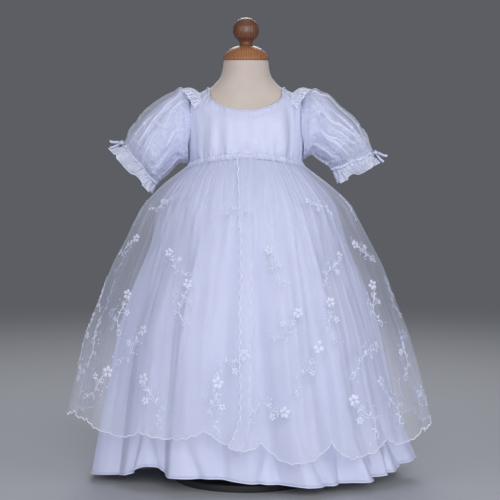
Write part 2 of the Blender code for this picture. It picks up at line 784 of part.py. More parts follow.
def skirt_rows(rings, drops, hem_height, folds, gather, turns, lap):
    """Rows of a skirt panel from the waist seam down. turns(drop) gives a row's angles."""
    rows = []
    for drop in drops:
        row = []
        angles = turns(drop)
        for k, degrees in enumerate(angles):
            angle = math.radians(degrees)
            pleat = 1 if k % 2 else -1
            uneven = 0.75 + 0.25 * math.sin(2.3 * degrees)
            ends = min(k, len(angles) - 1 - k, 3) / 3
            sink = -pleat * gather * uneven * ends * share(GATHERS_END, 0.0, drop)
            for fold in folds:
                middle = fold.waist + (fold.hem - fold.waist) * drop
                off = (degrees - middle + 180) % 360 - 180
                shape = math.exp(-((off / fold.half_width) ** 2))
                sink += fold.depth * shape * share(fold.start, 1.1, drop) * 1.15
            out = lap(degrees) - sink
            power = 2 / (2 + WAIST_SQUARENESS * (1 - share(0, 0.15, drop)))
            x = (along(rings, "half_width", drop) + out) * signed_power(math.sin(angle), power)
            x += along(rings, "middle", drop)
            y = -(along(rings, "half_depth", drop) + out) * signed_power(math.cos(angle), power)
            seam_rise = waist_height(angle) - WAIST_SIDE
            height = WAIST_SIDE + (hem_height(degrees) - WAIST_SIDE) * drop
            row.append(Vector((x, y, height + seam_rise * (1 - drop) ** 4)))
        rows.append(row)
    return rows


def wrapped(degrees):
    return (degrees + 180) % 360 - 180


def make_satin_skirt(place):
    def hem_height(degrees):
        return along(SATIN_HEM, "height", wrapped(degrees))

    for name, start in (("skirt_front", -90), ("skirt_back", 90)):

        def turns(drop, start=start):
            gap = math.degrees(SEAM / along(SATIN_RINGS, "half_depth", drop))
            return evenly(start + gap, start + 180 - gap, SATIN_COLUMNS // 2)

        rows = skirt_rows(
            SATIN_RINGS, SATIN_DROPS, hem_height, SATIN_FOLDS, SATIN_GATHER, turns, no_lap
        )
        cloth(name, rows, SATIN, "satin", place)


def scalloped(panel):
    """The height of a panel's scalloped hem at an angle."""
    first, pitch = SCALLOPS[panel]

    def height(degrees):
        place_in = ((degrees - first) / pitch) % 1
        lobe = 1 - abs(2 * place_in - 1) ** 2.4
        at = wrapped(degrees)
        return along(ORGANZA_HEM, "height", at) - along(ORGANZA_HEM, "dip", at) * lobe

    return height


def make_overskirt(place):
    def edge_angle(drop, column):
        out = along(FRONT_EDGES, column, drop)
        return math.degrees(math.asin(out / along(ORGANZA_RINGS, "half_width", drop)))

    def gap(drop):
        return math.degrees(SEAM / along(ORGANZA_RINGS, "half_depth", drop))

    def turns_left(drop):
        return evenly(-90 + gap(drop), edge_angle(drop, "left"), ORGANZA_COLUMNS // 4 + 1)

    def turns_right(drop):
        return evenly(edge_angle(drop, "right"), 90 - gap(drop), ORGANZA_COLUMNS // 4 + 1)

    def turns_back(drop):
        return evenly(90 + gap(drop), 270 - gap(drop), ORGANZA_COLUMNS // 2)

    panels = (
        ("front_left", turns_left, lambda degrees: -LAP_LIFT * lap_share(degrees)),
        ("front_right", turns_right, lambda degrees: LAP_LIFT * lap_share(degrees)),
        ("back", turns_back, no_lap),
    )
    for panel, turns, lap in panels:
        hem = scalloped(panel)
        rows = skirt_rows(
            ORGANZA_RINGS, ORGANZA_DROPS, hem, ORGANZA_FOLDS, ORGANZA_GATHER, turns, lap
        )
        cloth("overskirt_" + panel, rows, ORGANZA, "organza", place)


def no_lap(degrees):
    return 0


def lap_share(degrees):
    """1 where the two fronts lap, fading to 0 round towards the sides."""
    return 1 - share(6, LAP_FADE, abs(degrees))


def make_shoulder_frills(place):
    """A gathered lace frill over each shoulder, from the chest to the back."""
    columns = 4 * SHOULDER_FRILL_WAVES
    for name, side in (("left", -1), ("right", 1)):
        rows = [[] for _ in range(3)]
        for k in range(columns + 1):
            u = k / columns
            y = SHOULDER_FRILL_FRONT + (SHOULDER_FRILL_BACK - SHOULDER_FRILL_FRONT) * u
            height = height_over(SHOULDER_FRILL_OUT, y)
            angle = angle_at_depth(y, height)
            angle = angle if y < 0 else math.pi - angle
            base = on_bodice(angle, height, LACE + 2 * SEAM)
            away = (on_bodice(angle, height, 0.01) - on_bodice(angle, height)).normalized()
            width = SHOULDER_FRILL_WIDTH * (0.35 + 0.65 * math.sin(math.pi * u) ** 0.7)
            for i, row in enumerate(rows):
                v = i / 2
                wave = SHOULDER_FRILL_WAVE * v * math.cos(math.pi * k / 2)
                point = base + Vector((width * v, 0, 0))
                point += away * (SHOULDER_FRILL_STAND * v + wave)
                point.y += math.copysign(SHOULDER_FRILL_SPREAD, y) * v * abs(2 * u - 1)
                point.x *= side
                row.append(point)
        if side < 0:
            rows = [row[::-1] for row in rows]
        cloth("shoulder_frill_" + name, rows, LACE, "lace", place)


def ribbon_loop(way):
    """A ribbon's loop as a flat ring beside the knot, along +X or -X of the bow."""
    rows = []
    for across in (-0.5, 0.5):
        row = []
        for k in range(11):
            turn = math.tau * k / 11
            x = BOW_START + BOW_LOOP * (0.5 - 0.5 * math.cos(turn))
            y = BOW_LOOP_HEIGHT * math.sin(turn) * math.sin(turn / 2) ** 0.5
            row.append(Vector((way * x, y, across * BOW_RIBBON * (0.5 + 0.5 * x / BOW_LOOP))))
        rows.append(row)
    return rows


def ribbon_tail(way):
    """A ribbon's tail, down from the knot and a little to one side."""
    rows = []
    for drop in evenly(0, 1, 3):
        middle = way * (BOW_START + BOW_TAIL_SPREAD * drop)
        curl = -0.0012 * math.sin(math.pi * drop)
        rows.append(
            [
                Vector((middle + across * BOW_RIBBON * 0.7, curl, -BOW_TAIL * drop))
                for across in (-0.5, 0.5)
            ]
        )
    return rows


def make_bows(place, helpers):
    """A small ribbon bow on the outside of each cuff band: two loops, two tails and a knot."""
    for name, side, table in (("left", -1, SLEEVE_LEFT), ("right", 1, SLEEVE_RIGHT)):
        proud = CUFF_GATHER + 3 * SEAM + BAND_THICKNESS + BOW_KNOT
        knot = solid_loft(f"cuff_bow_{name}", knot_rows(), "satin", place)
        for number, way in enumerate((-1, 1)):
            loop = surface(f"{name}_loop_{number}", ribbon_loop(way), ring=True)
            tail = surface(f"{name}_tail_{number}", ribbon_tail(way))
            for ribbon in (loop, tail):
                wall = ribbon.modifiers.new("wall", "SOLIDIFY")
                wall.thickness = BOW_WALL
                wall.offset = 0
                helpers.objects.link(ribbon)
                ribbon.hide_render = True
                ribbon.display_type = "WIRE"
                ribbon.parent = knot
                union = knot.modifiers.new(ribbon.name, "BOOLEAN")
                union.operation = "UNION"
                union.object = ribbon
        tails = Vector((BOW_TAILS[name][0] * side, 0, BOW_TAILS[name][1])).normalized()
        forward = Vector((0, -side, 0))
        frame = Matrix((forward, (-tails).cross(forward), -tails)).transposed()
        knot.location = sleeve_point(table, side, 5.9, 0, swell=proud)
        knot.rotation_euler = frame.to_euler()


def knot_rows():
    """Rings of a small rounded knot."""
    rows = []
    for lift in (65, 22, -22, -65):
        level = math.radians(lift)
        turns = evenly(0.1, 0.1 + math.tau, 9)[:-1]
        out, up = BOW_KNOT * math.cos(level), BOW_KNOT * math.sin(level)
        rows.append([Vector((out * math.cos(turn), out * math.sin(turn), up)) for turn in turns])
    return rows


def main():
    for thing in list(bpy.data.objects):
        bpy.data.objects.remove(thing)
    place = bpy.data.collections.new("christening_gown")
    helpers = bpy.data.collections.new("helpers")
    for collection in (place, helpers):
        bpy.context.scene.collection.children.link(collection)
    make_form(place)
    make_stand(place)
    make_bodice(place)
    make_neck_binding(place)
    make_waist_trim(place)
    make_buttons(place)
    make_sleeves(place)
    make_bows(place, helpers)
    make_shoulder_frills(place)
    make_satin_skirt(place)
    make_overskirt(place)


main()
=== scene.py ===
# %% [markdown]
# # A christening gown on its dress form
#
# A christening gown is a long white dress for a baby. This one has a satin bodice and skirt, an
# organza overskirt that opens down the front, short puffed sleeves and lace frills over the
# shoulders. It is shown on a small padded dress form. A CAD model already holds every piece at
# its real place and size, and this lesson gives each piece its cloth, folds and stitches.

# %% Open the model
import math
from bisect import bisect_right
from collections import namedtuple

import bmesh
import bpy
from mathutils import Matrix, Vector, noise


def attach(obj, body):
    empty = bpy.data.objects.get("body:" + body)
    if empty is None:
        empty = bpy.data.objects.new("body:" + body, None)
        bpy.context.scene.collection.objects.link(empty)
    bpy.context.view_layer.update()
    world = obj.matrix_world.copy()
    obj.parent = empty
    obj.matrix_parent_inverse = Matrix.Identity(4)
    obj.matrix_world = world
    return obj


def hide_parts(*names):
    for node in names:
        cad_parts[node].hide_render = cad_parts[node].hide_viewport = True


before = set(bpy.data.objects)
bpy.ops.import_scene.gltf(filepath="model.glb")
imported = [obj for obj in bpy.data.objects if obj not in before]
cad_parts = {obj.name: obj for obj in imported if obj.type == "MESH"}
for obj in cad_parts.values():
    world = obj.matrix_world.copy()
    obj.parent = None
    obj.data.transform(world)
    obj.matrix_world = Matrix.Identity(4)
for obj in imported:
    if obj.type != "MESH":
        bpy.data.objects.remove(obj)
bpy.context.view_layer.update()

# %% [markdown]
# ## Camera, light and floor
#
# The camera stands three metres off with a long lens, as a photographer would for a garment, so
# that the skirt isn't stretched by a near view. Big area lights stand in for softboxes. The
# main one is in front and a little above, with two weaker ones at its sides, so cloth that
# faces them is bright and cloth that turns away falls into soft shade, which is all that shows
# a fold in white cloth. The floor is one pale sheet that darkens into the grey of the world
# behind it, so the sheer cloth shows against it and no hard line crosses behind the gown.

# %% Helpers for colours and nodes
def linear(colour):
    """An sRGB hex colour as the linear red, green, blue and alpha that Blender works in."""
    parts = [int(colour[k : k + 2], 16) / 255 for k in (0, 2, 4)]
    return (*[c / 12.92 if c <= 0.04045 else ((c + 0.055) / 1.055) ** 2.4 for c in parts], 1)


def add(tree, kind, sockets=None, **settings):
    """Adds a node with its settings, and fills its sockets.

    A socket gets a plain value, another socket, or a node, whose Fac or first output it takes.
    """
    node = tree.nodes.new(kind)
    for setting, value in settings.items():
        setattr(node, setting, value)
    for key, value in (sockets or {}).items():
        if isinstance(value, bpy.types.Node):
            value = value.outputs.get("Fac") or value.outputs[0]
        if isinstance(value, bpy.types.NodeSocket):
            tree.links.new(value, node.inputs[key])
        else:
            node.inputs[key].default_value = value
    return node


print("Middle grey, 808080, is", round(linear("808080")[0], 3), "in linear light")

# %% Helpers for finishes
def new_finish(name, colour, roughness, **sockets):
    """A material with its colour and roughness set, its node tree, and its main shader."""
    material = bpy.data.materials.new(name)
    material.use_nodes = True
    shader = material.node_tree.nodes["Principled BSDF"]
    shader.inputs["Base Color"].default_value = linear(colour)
    shader.inputs["Roughness"].default_value = roughness
    for key, value in sockets.items():
        shader.inputs[key.replace("_", " ")].default_value = value
    return material, material.node_tree, shader


def two_tone(tree, shader, pattern, dark, light):
    """Colours a surface between two colours, as a pattern says."""
    colours = {"Factor": pattern, 6: linear(dark), 7: linear(light)}
    mix = add(tree, "ShaderNodeMix", colours, data_type="RGBA")
    tree.links.new(mix.outputs[2], shader.inputs["Base Color"])


def raised(tree, shader, pattern, strength, distance, **under):
    """Lets a pattern raise a surface, on top of any Normal given."""
    sockets = {"Height": pattern, "Strength": strength, "Distance": distance, **under}
    bump = add(tree, "ShaderNodeBump", sockets)
    tree.links.new(bump.outputs[0], shader.inputs["Normal"])
    return bump


def speckle(tree, where, scale, detail, **more):
    sockets = {"Vector": where, "Scale": scale, "Detail": detail, **more}
    return add(tree, "ShaderNodeTexNoise", sockets)


def on_object(tree):
    """A point's place on its object, in metres."""
    return add(tree, "ShaderNodeTexCoord").outputs["Object"]


def on_cloth(tree):
    """A point's place on the piece's flat pattern, in metres, which the weave follows."""
    return add(tree, "ShaderNodeUVMap", uv_map="cloth").outputs["UV"]


print("Six helpers make the finishes")

# %% The camera
CAMERA_OFF, CAMERA_UP, CAMERA_DOWN, LENS = 3.0, 0.62, 4.7636, 135.47
scene = bpy.context.scene
camera = bpy.data.objects.new("camera", bpy.data.cameras.new("camera"))
scene.collection.objects.link(camera)
camera.location = (0.0064, -CAMERA_OFF, CAMERA_UP)
camera.rotation_euler = (math.radians(90 - CAMERA_DOWN), 0, 0)
camera.data.lens = LENS
scene.camera = camera
scene.view_settings.view_transform = "Standard"
print("The camera's lens is", LENS, "mm long")

# %% The lights
# Each light's place, the height that it is aimed at, its width in metres and its watts.
Softbox = namedtuple("Softbox", "name place aim size power")
SOFTBOXES = [
    Softbox("key", (0.25, -3.7, 1.45), 0.3, 1.6, 79),
    Softbox("left", (-2.6, -2.7, 1.4), 0.3, 1.6, 28),
    Softbox("right", (2.8, -2.5, 1.4), 0.3, 1.6, 36),
    Softbox("top", (0.0, 0.3, 2.8), 0.4, 1.4, 5),
    Softbox("behind", (0.0, 2.6, 2.0), 0.4, 1.4, 36),
]
BACKDROP_GREY, FLOOR_GREY = "5C5E64", "B4B6BC"
for box in SOFTBOXES:
    light = bpy.data.lights.new(box.name, "AREA")
    light.size, light.energy = box.size, box.power
    thing = bpy.data.objects.new(box.name, light)
    thing.location = box.place
    ray = Vector((0, 0, box.aim)) - Vector(box.place)
    thing.rotation_euler = ray.to_track_quat("-Z", "Y").to_euler()
    scene.collection.objects.link(thing)
world = bpy.data.worlds.new("room")
scene.world = world
world.use_nodes = True
world.node_tree.nodes["Background"].inputs["Color"].default_value = linear(BACKDROP_GREY)
print("Lights:", [box.name for box in SOFTBOXES])

# %% The floor
# Further off, the floor's own colour fades and it glows as the world does, so that no light
# makes a bright patch on it, and it meets the world with no line.
FADE_START, FADE_END = 0.45, 2.6
bpy.ops.mesh.primitive_circle_add(vertices=96, radius=90, fill_type="NGON")
floor = bpy.context.object
floor.name = "floor"
paint, tree, shader = new_finish("floor_paint", FLOOR_GREY, 0.9, Specular_IOR_Level=0.0)
far = add(tree, "ShaderNodeVectorMath", {0: on_object(tree)}, operation="LENGTH")
fade = {"Value": far.outputs["Value"], "From Min": FADE_START, "From Max": FADE_END}
glow = add(tree, "ShaderNodeMapRange", fade, interpolation_type="SMOOTHSTEP")
two_tone(tree, shader, glow, FLOOR_GREY, "000000")
shader.inputs["Emission Color"].default_value = linear(BACKDROP_GREY)
tree.links.new(glow.outputs[0], shader.inputs["Emission Strength"])
floor.data.materials.append(paint)
print("The floor is", round(floor.dimensions.x, 1), "m across")

# %% [markdown]
# ## Satin
#
# Satin is woven so that long threads float over the surface. They lie side by side and shine
# together, which gives broad soft highlights that follow each fold. The real threads are about
# 0.1 mm apart, too fine to show, so the warp is drawn here as faint streaks 1.5 mm apart. A
# second, larger unevenness stands for the slight crumple that no iron takes out.

# %% The satin finish
STREAK_SCALE = (650, 40, 1)
soft = {"Sheen_Weight": 0.1, "Sheen_Roughness": 0.4, "Specular_IOR_Level": 0.55}
satin, tree, shader = new_finish("white_polyester_satin", "CBD0EC", 0.49, **soft)
flat = on_cloth(tree)
warp = add(tree, "ShaderNodeMapping", {"Vector": flat, "Scale": STREAK_SCALE})
streaks = raised(tree, shader, speckle(tree, warp, 1, 1), 0.35, 0.0002)
raised(tree, shader, speckle(tree, flat, 55, 3), 0.5, 0.0016, Normal=streaks)
print(satin.name, "has", len(tree.nodes), "nodes")

# %% [markdown]
# ## Organza
#
# Organza is a stiff, sheer weave of fine twisted threads. Most of it is air, so it covers only
# part of what lies behind it. A node texture that makes it part clear costs far less than real
# threads. Its threads are 0.2 mm apart, so they are drawn 1.2 mm apart, as a faint change in how
# clear the cloth is. Where it is gathered or pinched into a crease it lies double or triple and
# looks whiter, so each point of the mesh also says how far it lies double there.

# %% The organza finish
LEAST_COVER, MOST_COVER, DOUBLE_COVER = 0.18, 0.32, 0.62
organza, tree, shader = new_finish("white_organza", "E4E9FF", 0.5, Sheen_Weight=0.5)
flat = on_cloth(tree)
threads = {"Vector": flat, "Scale": 520, "Distortion": 0.6}
weft = add(tree, "ShaderNodeTexWave", threads)
warp = add(tree, "ShaderNodeTexWave", threads, bands_direction="Y")
weave = add(tree, "ShaderNodeMath", {0: weft, 1: warp}, operation="MULTIPLY")
cloudy = speckle(tree, flat, 9, 2)
uneven = add(tree, "ShaderNodeMath", {0: weave, 1: cloudy}, operation="MULTIPLY")
ends = {"From Max": 0.5, "To Min": LEAST_COVER, "To Max": MOST_COVER}
single = add(tree, "ShaderNodeMapRange", {"Value": uneven, **ends})
double = add(tree, "ShaderNodeAttribute", attribute_name="double")
layers = {0: double, 1: DOUBLE_COVER, 2: single}
cover = add(tree, "ShaderNodeMath", layers, operation="MULTIPLY_ADD", use_clamp=True)
tree.links.new(cover.outputs[0], shader.inputs["Alpha"])
print(organza.name, "covers 18 to 32 parts in 100 as a single layer")

# %% [markdown]
# ## Lace, thread, pearl, jersey, wood and steel
#
# The shoulder frills are a soft nylon lace with rows of small holes. Embroidery thread is
# rayon, brighter than the cloth under it, and the cord round the edges is whiter still. The
# buttons are plastic with a pearl lustre. The form is covered in cotton jersey. Its cap is
# beech under a brown stain and varnish, and the knob on it is a darker brown.

# %% The lace finish
HOLE_PITCH = 0.0024
lace, tree, shader = new_finish("white_nylon_lace", "E2E6FA", 0.6, Sheen_Weight=0.4)
rows_of_holes = {"Vector": on_cloth(tree), "Scale": round(1 / HOLE_PITCH, -1), "Randomness": 0.25}
holes = add(tree, "ShaderNodeTexVoronoi", rows_of_holes, voronoi_dimensions="2D")
rim = {"From Min": 0.26, "From Max": 0.40, "To Min": 0.06, "To Max": 0.95}
cover = add(tree, "ShaderNodeMapRange", {"Value": holes.outputs["Distance"], **rim})
tree.links.new(cover.outputs[0], shader.inputs["Alpha"])
print(lace.name, "has a hole every", 1000 * HOLE_PITCH, "mm")

# %% The thread finish
def thread_finish(name, colour):
    thread, tree, shader = new_finish(name, colour, 0.5, Sheen_Weight=0.2)
    raised(tree, shader, speckle(tree, on_object(tree), 1400, 1), 0.5, 0.0003)
    return thread


thread = thread_finish("white_rayon_thread", "DADFF6")
edge_thread = thread_finish("white_edge_cord", "E9EDFF")
print(thread.name, "is lighter than the cloth it lies on")

# %% The pearl finish
pearl, tree, shader = new_finish(
    "pearl_plastic", "ECEAE8", 0.2, Coat_Weight=0.6, Coat_Roughness=0.1
)
swirl = speckle(tree, on_object(tree), 260, 2, Distortion=1.5)
two_tone(tree, shader, swirl, "E6E2E6", "F6F5F0")
print(pearl.name, "swirls between two whites")

# %% The jersey finish
# Knit columns are 0.6 mm apart and drawn 1.5 mm apart.
jersey, tree, shader = new_finish("cream_cotton_jersey", "C9BCB4", 0.9, Sheen_Weight=0.3)
place = on_object(tree)
knit = {"Vector": place, "Scale": 105, "Distortion": 1.0, "Detail": 1}
raised(tree, shader, add(tree, "ShaderNodeTexWave", knit), 0.25, 0.0004)
two_tone(tree, shader, speckle(tree, place, 30, 4), "BFB0A8", "D2C6BF")
print(jersey.name, "is slightly mottled")

# %% The wood finish
# Beech has growth rings 1 to 3 mm wide, cut across here, and the stain hides most of them.
def wood_finish(name, dark, light):
    wood, tree, shader = new_finish(name, dark, 0.46, Coat_Weight=0.2, Coat_Roughness=0.35)
    rings = {"Scale": 80, "Distortion": 6, "Detail": 4, "Detail Scale": 1.4}
    grain = add(tree, "ShaderNodeTexWave", {"Vector": on_object(tree), **rings})
    two_tone(tree, shader, grain, dark, light)
    return wood


wood = wood_finish("stained_beech", "8C5838", "AA744A")
# The knob is given darker browns than the cap.
knob_wood = wood_finish("dark_stained_beech", "603A28", "774B35")
print(wood.name, "and", knob_wood.name, "have a varnish coat")

# %% The steel finish
steel, tree, shader = new_finish("black_powder_coat", "2A2A2C", 0.5)
raised(tree, shader, speckle(tree, on_object(tree), 900, 1), 0.3, 0.0002)
print(steel.name, "has pimples about 1 mm apart")

# %% [markdown]
# ## The dress form
#
# The form is a shell padded with foam, pulled over with jersey, which wrinkles a little round
# the base of the neck. It could be sculpted, but its girth at each height is known, so it is a
# loft: rings of points worked out from a short table of sections, joined into one skin.

# %% A smooth curve through a table
def table(kind, *rows):
    return [kind(*row) for row in rows]


def smooth(rows, column):
    """A function of place that runs through a table's column and never overshoots its rows."""
    places, values = [row[0] for row in rows], [getattr(row, column) for row in rows]
    rises = [(b - a) / (q - p) for a, b, p, q in zip(values, values[1:], places, places[1:])]
    slopes = [
        2 * before * after / (before + after) if before * after > 0 else 0
        for before, after in zip(rises[:1] + rises, rises + rises[-1:])
    ]

    def at(place):
        k = min(max(bisect_right(places, place) - 1, 0), len(places) - 2)
        gap = places[k + 1] - places[k]
        u = min(max((place - places[k]) / gap, 0), 1)
        return (
            values[k] * (1 + 2 * u) * (1 - u) ** 2
            + values[k + 1] * u * u * (3 - 2 * u)
            + slopes[k] * gap * u * (1 - u) ** 2
            - slopes[k + 1] * gap * u * u * (1 - u)
        )

    return at


FORM = table(
    namedtuple("Section", "height half_width half_depth power"),
    (0.300, 0.0780, 0.0600, 2.2), (0.308, 0.0890, 0.0690, 2.2), (0.345, 0.0930, 0.0730, 2.2),
    (0.400, 0.0885, 0.0710, 2.2), (0.450, 0.0865, 0.0680, 2.2), (0.500, 0.0870, 0.0655, 2.2),
    (0.545, 0.0885, 0.0625, 2.3), (0.575, 0.0890, 0.0575, 2.3), (0.594, 0.0885, 0.0525, 2.3),
    (0.603, 0.0868, 0.0490, 2.3), (0.610, 0.0825, 0.0458, 2.3), (0.616, 0.0750, 0.0432, 2.2),
    (0.621, 0.0670, 0.0415, 2.1), (0.627, 0.0585, 0.0400, 2.1), (0.636, 0.0485, 0.0385, 2.0),
    (0.646, 0.0405, 0.0370, 2.0), (0.658, 0.0368, 0.0355, 2.0), (0.672, 0.0350, 0.0350, 2.0),
)
FORM_FOOT, FORM_TOP = FORM[0].height, FORM[-1].height
form_width, form_depth, form_power = [smooth(FORM, column) for column in FORM[0]._fields[1:]]
print("At the waist the form is", round(2000 * form_width(0.504)), "mm wide")


# %% Helpers for sums
def share(start, end, value):
    """How far a value is from start to end, eased, and held between 0 and 1."""
    u = min(max((value - start) / (end - start), 0), 1)
    return u * u * (3 - 2 * u)


def evenly(start, end, count):
    return [start + (end - start) * k / count for k in range(count + 1)]


def round_turn(count):
    """Angles evenly round a ring, the last one short of the first."""
    return evenly(0, math.tau, count)[:-1]


def signed_power(value, power):
    return math.copysign(abs(value) ** power, value)


def wander(x, y=0):
    """A smooth chance number from -1 to 1."""
    return noise.noise(Vector((x, y, 0)))


def ripple(turn, reach, along=0):
    """A smooth chance number from -1 to 1 that joins up round a ring. A long reach is fine."""
    return noise.noise(Vector((reach * math.sin(turn), reach * math.cos(turn), along)))


def pleats(turn, along, count):
    """Uneven pleats round a gathered tube: 1 on a ridge, 0 in a valley, about count in a turn."""
    return max(1 - 3.4 * abs(ripple(turn, count / math.tau, along)), 0)


print("Halfway, share() gives", share(0, 1, 0.5))


# %% Points on the form
def form_point(angle, height):
    """A point of the form. An angle is 0 at the centre front and grows to the right."""
    power = 2 / form_power(height)
    x = form_width(height) * signed_power(math.sin(angle), power)
    y = -form_depth(height) * signed_power(math.cos(angle), power)
    return Vector((x, y, height))


def on_form(angle, height, proud):
    """A point that stands proud of the form, square to it."""
    step = 0.001
    across = form_point(angle + step, height) - form_point(angle - step, height)
    up = form_point(angle, height + step) - form_point(angle, height - step)
    return form_point(angle, height) + proud * across.cross(up).normalized()


print("The chest's middle is at", [round(c, 3) for c in on_form(0, 0.57, 0)])


# %% Helpers that make a piece
def new_object(name, mesh):
    thing = bpy.data.objects.new(name, mesh)
    scene.collection.objects.link(thing)
    return thing


def as_piece(thing, slot, node=None):
    """Puts a piece on the root body and hides the node of the model that it takes the place of. Its
    slot is not used.
    """
    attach(thing, "root")
    if node:
        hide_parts(node)
    return thing


def baked(thing):
    """A thing's mesh as its modifiers leave it."""
    ready = thing.evaluated_get(bpy.context.evaluated_depsgraph_get())
    return bpy.data.meshes.new_from_object(ready)


def skin(name, rows, finish, slot, node=None, ring=False, cut=(1, 1), double=None):
    """A piece that joins rows of points, the top row first, with its flat pattern as a UV map.

    cut is the flat width and length in metres. A ring joins each row's end to its start.
    double says, for the finish, how far the cloth lies double at each point, from 0 to 1.
    """
    columns, deep = len(rows[0]), len(rows) - 1
    across = columns if ring else columns - 1
    corners, flat = [], []
    for i in range(deep):
        top, below = i * columns, (i + 1) * columns
        for k in range(across):
            n = (k + 1) % columns
            corners.append([top + k, below + k, below + n, top + n])
            for column, row in ((k, i), (k, i + 1), (k + 1, i + 1), (k + 1, i)):
                flat += [cut[0] * column / across, -cut[1] * row / deep]
    mesh = bpy.data.meshes.new(name)
    mesh.from_pydata([point for row in rows for point in row], [], corners)
    mesh.uv_layers.new(name="cloth").data.foreach_set("uv", flat)
    if double:
        amounts = [amount for row in double for amount in row]
        mesh.attributes.new("double", "FLOAT", "POINT").data.foreach_set("value", amounts)
    mesh.shade_smooth()
    mesh.materials.append(finish)
    return as_piece(new_object(name, mesh), slot, node)


def close_ends(thing):
    """Fills the open ends of a ring skin, with its faces outwards."""
    shape = bmesh.new()
    shape.from_mesh(thing.data)
    bmesh.ops.holes_fill(shape, edges=shape.edges)
    bmesh.ops.recalc_face_normals(shape, faces=shape.faces)
    shape.to_mesh(thing.data)
    shape.free()


print("skin() joins rows, and close_ends() caps them")

# %% The torso
FORM_INSET, WRINKLE = 0.0014, 0.0005
rows = []
for height in evenly(FORM_TOP, FORM_FOOT, 124):
    covered = share(0.630, 0.615, height) * share(FORM_FOOT, 0.308, height)
    base_of_neck = share(0.618, 0.626, height) * share(0.655, 0.640, height)
    row = []
    for angle in round_turn(96):
        fold = ripple(angle, 1.6, 170 * height)
        proud = -FORM_INSET * covered + WRINKLE * base_of_neck * (fold - 0.5)
        row.append(on_form(angle, height, proud))
    rows.append(row)
torso = skin("dress_form_torso", rows, jersey, "jersey", "form_torso", ring=True)
close_ends(torso)
print("The torso has", len(torso.data.polygons), "faces")

# %% [markdown]
# ## The turned cap and the stand
#
# A lathe made the wooden cap and its knob: each is one profile spun round an upright line. The
# Screw modifier does the same. The profiles are smoothed first, so that the varnish shines
# without facets. The steel stand under the skirt is turned in the same way.

# %% Helpers for turned pieces
Turning = namedtuple("Turning", "radius up")
MERGE = 0.00002


def rounded(profile, foot):
    """Points of a smooth line through a profile's rows, which start at the top."""
    lengths = [0]
    for a, b in zip(profile, profile[1:]):
        lengths.append(lengths[-1] + math.hypot(b.radius - a.radius, b.up - a.up))
    Spot = namedtuple("Spot", "length radius up")
    spots = [Spot(length, *row) for length, row in zip(lengths, profile)]
    radius, up = smooth(spots, "radius"), smooth(spots, "up")
    count = 5 * (len(profile) - 1)
    return [(radius(length), foot + up(length)) for length in evenly(0, lengths[-1], count)]


def turned(name, points, finish, slot, node, steps=72, place=None):
    """A piece turned from its profile's points, and moved to its place by a matrix."""
    line = bpy.data.meshes.new(name)
    edges = [(k, k + 1) for k in range(len(points) - 1)]
    line.from_pydata([(radius, 0, height) for radius, height in points], edges, [])
    thing = new_object(name, line)
    screw = thing.modifiers.new("turn", "SCREW")
    screw.steps = screw.render_steps = steps
    screw.use_merge_vertices, screw.merge_threshold = True, MERGE
    mesh = baked(thing)
    thing.modifiers.clear()
    shape = bmesh.new()
    shape.from_mesh(mesh)
    bmesh.ops.remove_doubles(shape, verts=shape.verts, dist=MERGE)
    bmesh.ops.recalc_face_normals(shape, faces=shape.faces)
    bmesh.ops.transform(shape, matrix=place or Matrix(), verts=shape.verts)
    shape.to_mesh(mesh)
    shape.free()
    mesh.shade_smooth()
    mesh.materials.append(finish)
    thing.data = mesh
    return as_piece(thing, slot, node)


print("turned() spins a profile and returns a plain mesh")

# %% The cap and its knob
CAP_PROFILE = table(
    Turning,
    (0, 0.0225), (0.0130, 0.0222), (0.0220, 0.0190), (0.0300, 0.0130), (0.0345, 0.0075),
    (0.0363, 0.0039), (0.0372, 0.0024), (0.0363, 0.0009), (0.0332, 0), (0, 0),
)
KNOB_PROFILE = table(
    Turning,
    (0, 0.0445), (0.0086, 0.0426), (0.0156, 0.0373), (0.0198, 0.0295), (0.0204, 0.0220),
    (0.0178, 0.0138), (0.0109, 0.0066), (0.0100, 0.0035), (0.0125, 0), (0, 0),
)
CAP_FOOT = 0.6723
KNOB_FOOT = CAP_FOOT + 0.0228
turned("turned_cap", rounded(CAP_PROFILE, CAP_FOOT), wood, "cap_wood", "form_neck_cap")
turned("turned_knob", rounded(KNOB_PROFILE, KNOB_FOOT), knob_wood, "cap_wood", "form_knob")
print("The knob's top is", round(KNOB_FOOT + KNOB_PROFILE[0].up, 4), "m up")


# %% The stand
def arc(radius, height, corner, start, end):
    """Points of a rounded corner about a middle, its angles in degrees from level."""
    turns = [math.radians(degrees) for degrees in evenly(start, end, 6)]
    return [(radius + corner * math.cos(t), height + corner * math.sin(t)) for t in turns]


base = [(0, 0.012)] + arc(0.112, 0.009, 0.003, 90, 0) + arc(0.112, 0.003, 0.003, 0, -90) + [(0, 0)]
pole = [(0, 0.2997)] + arc(0.029, 0.2987, 0.001, 90, 0) + arc(0.029, 0.2947, 0.001, 0, -90)
pole += arc(0.0155, 0.2907, 0.003, 90, 180) + arc(0.0155, 0.0213, 0.003, 180, 270)
pole += arc(0.029, 0.0173, 0.001, 90, 0) + arc(0.029, 0.0133, 0.001, 0, -90) + [(0, 0.0123)]
turned("stand_round_base", base, steel, "stand_metal", "stand_base")
turned("stand_steel_pole", pole, steel, "stand_metal", "stand_pole")
print("The base is 230 mm across")

# %% [markdown]
# ## The bodice
#
# The bodice is a front with armholes at its sides and two halves behind, which button together.
# Each quarter of it is a patch with four known edges: the centre line, the side seam with the
# armhole, the waist and the neckline. A blend of the four edges fills the patch, as a sewing
# pattern is graded, and the patch is then laid over the form. Soft folds hang from the neck,
# keener ones rise from the waist seam, and the edge under the binding puckers. A gathered edge
# is never regular, so its pleats come from a noise that is stretched along the cloth.

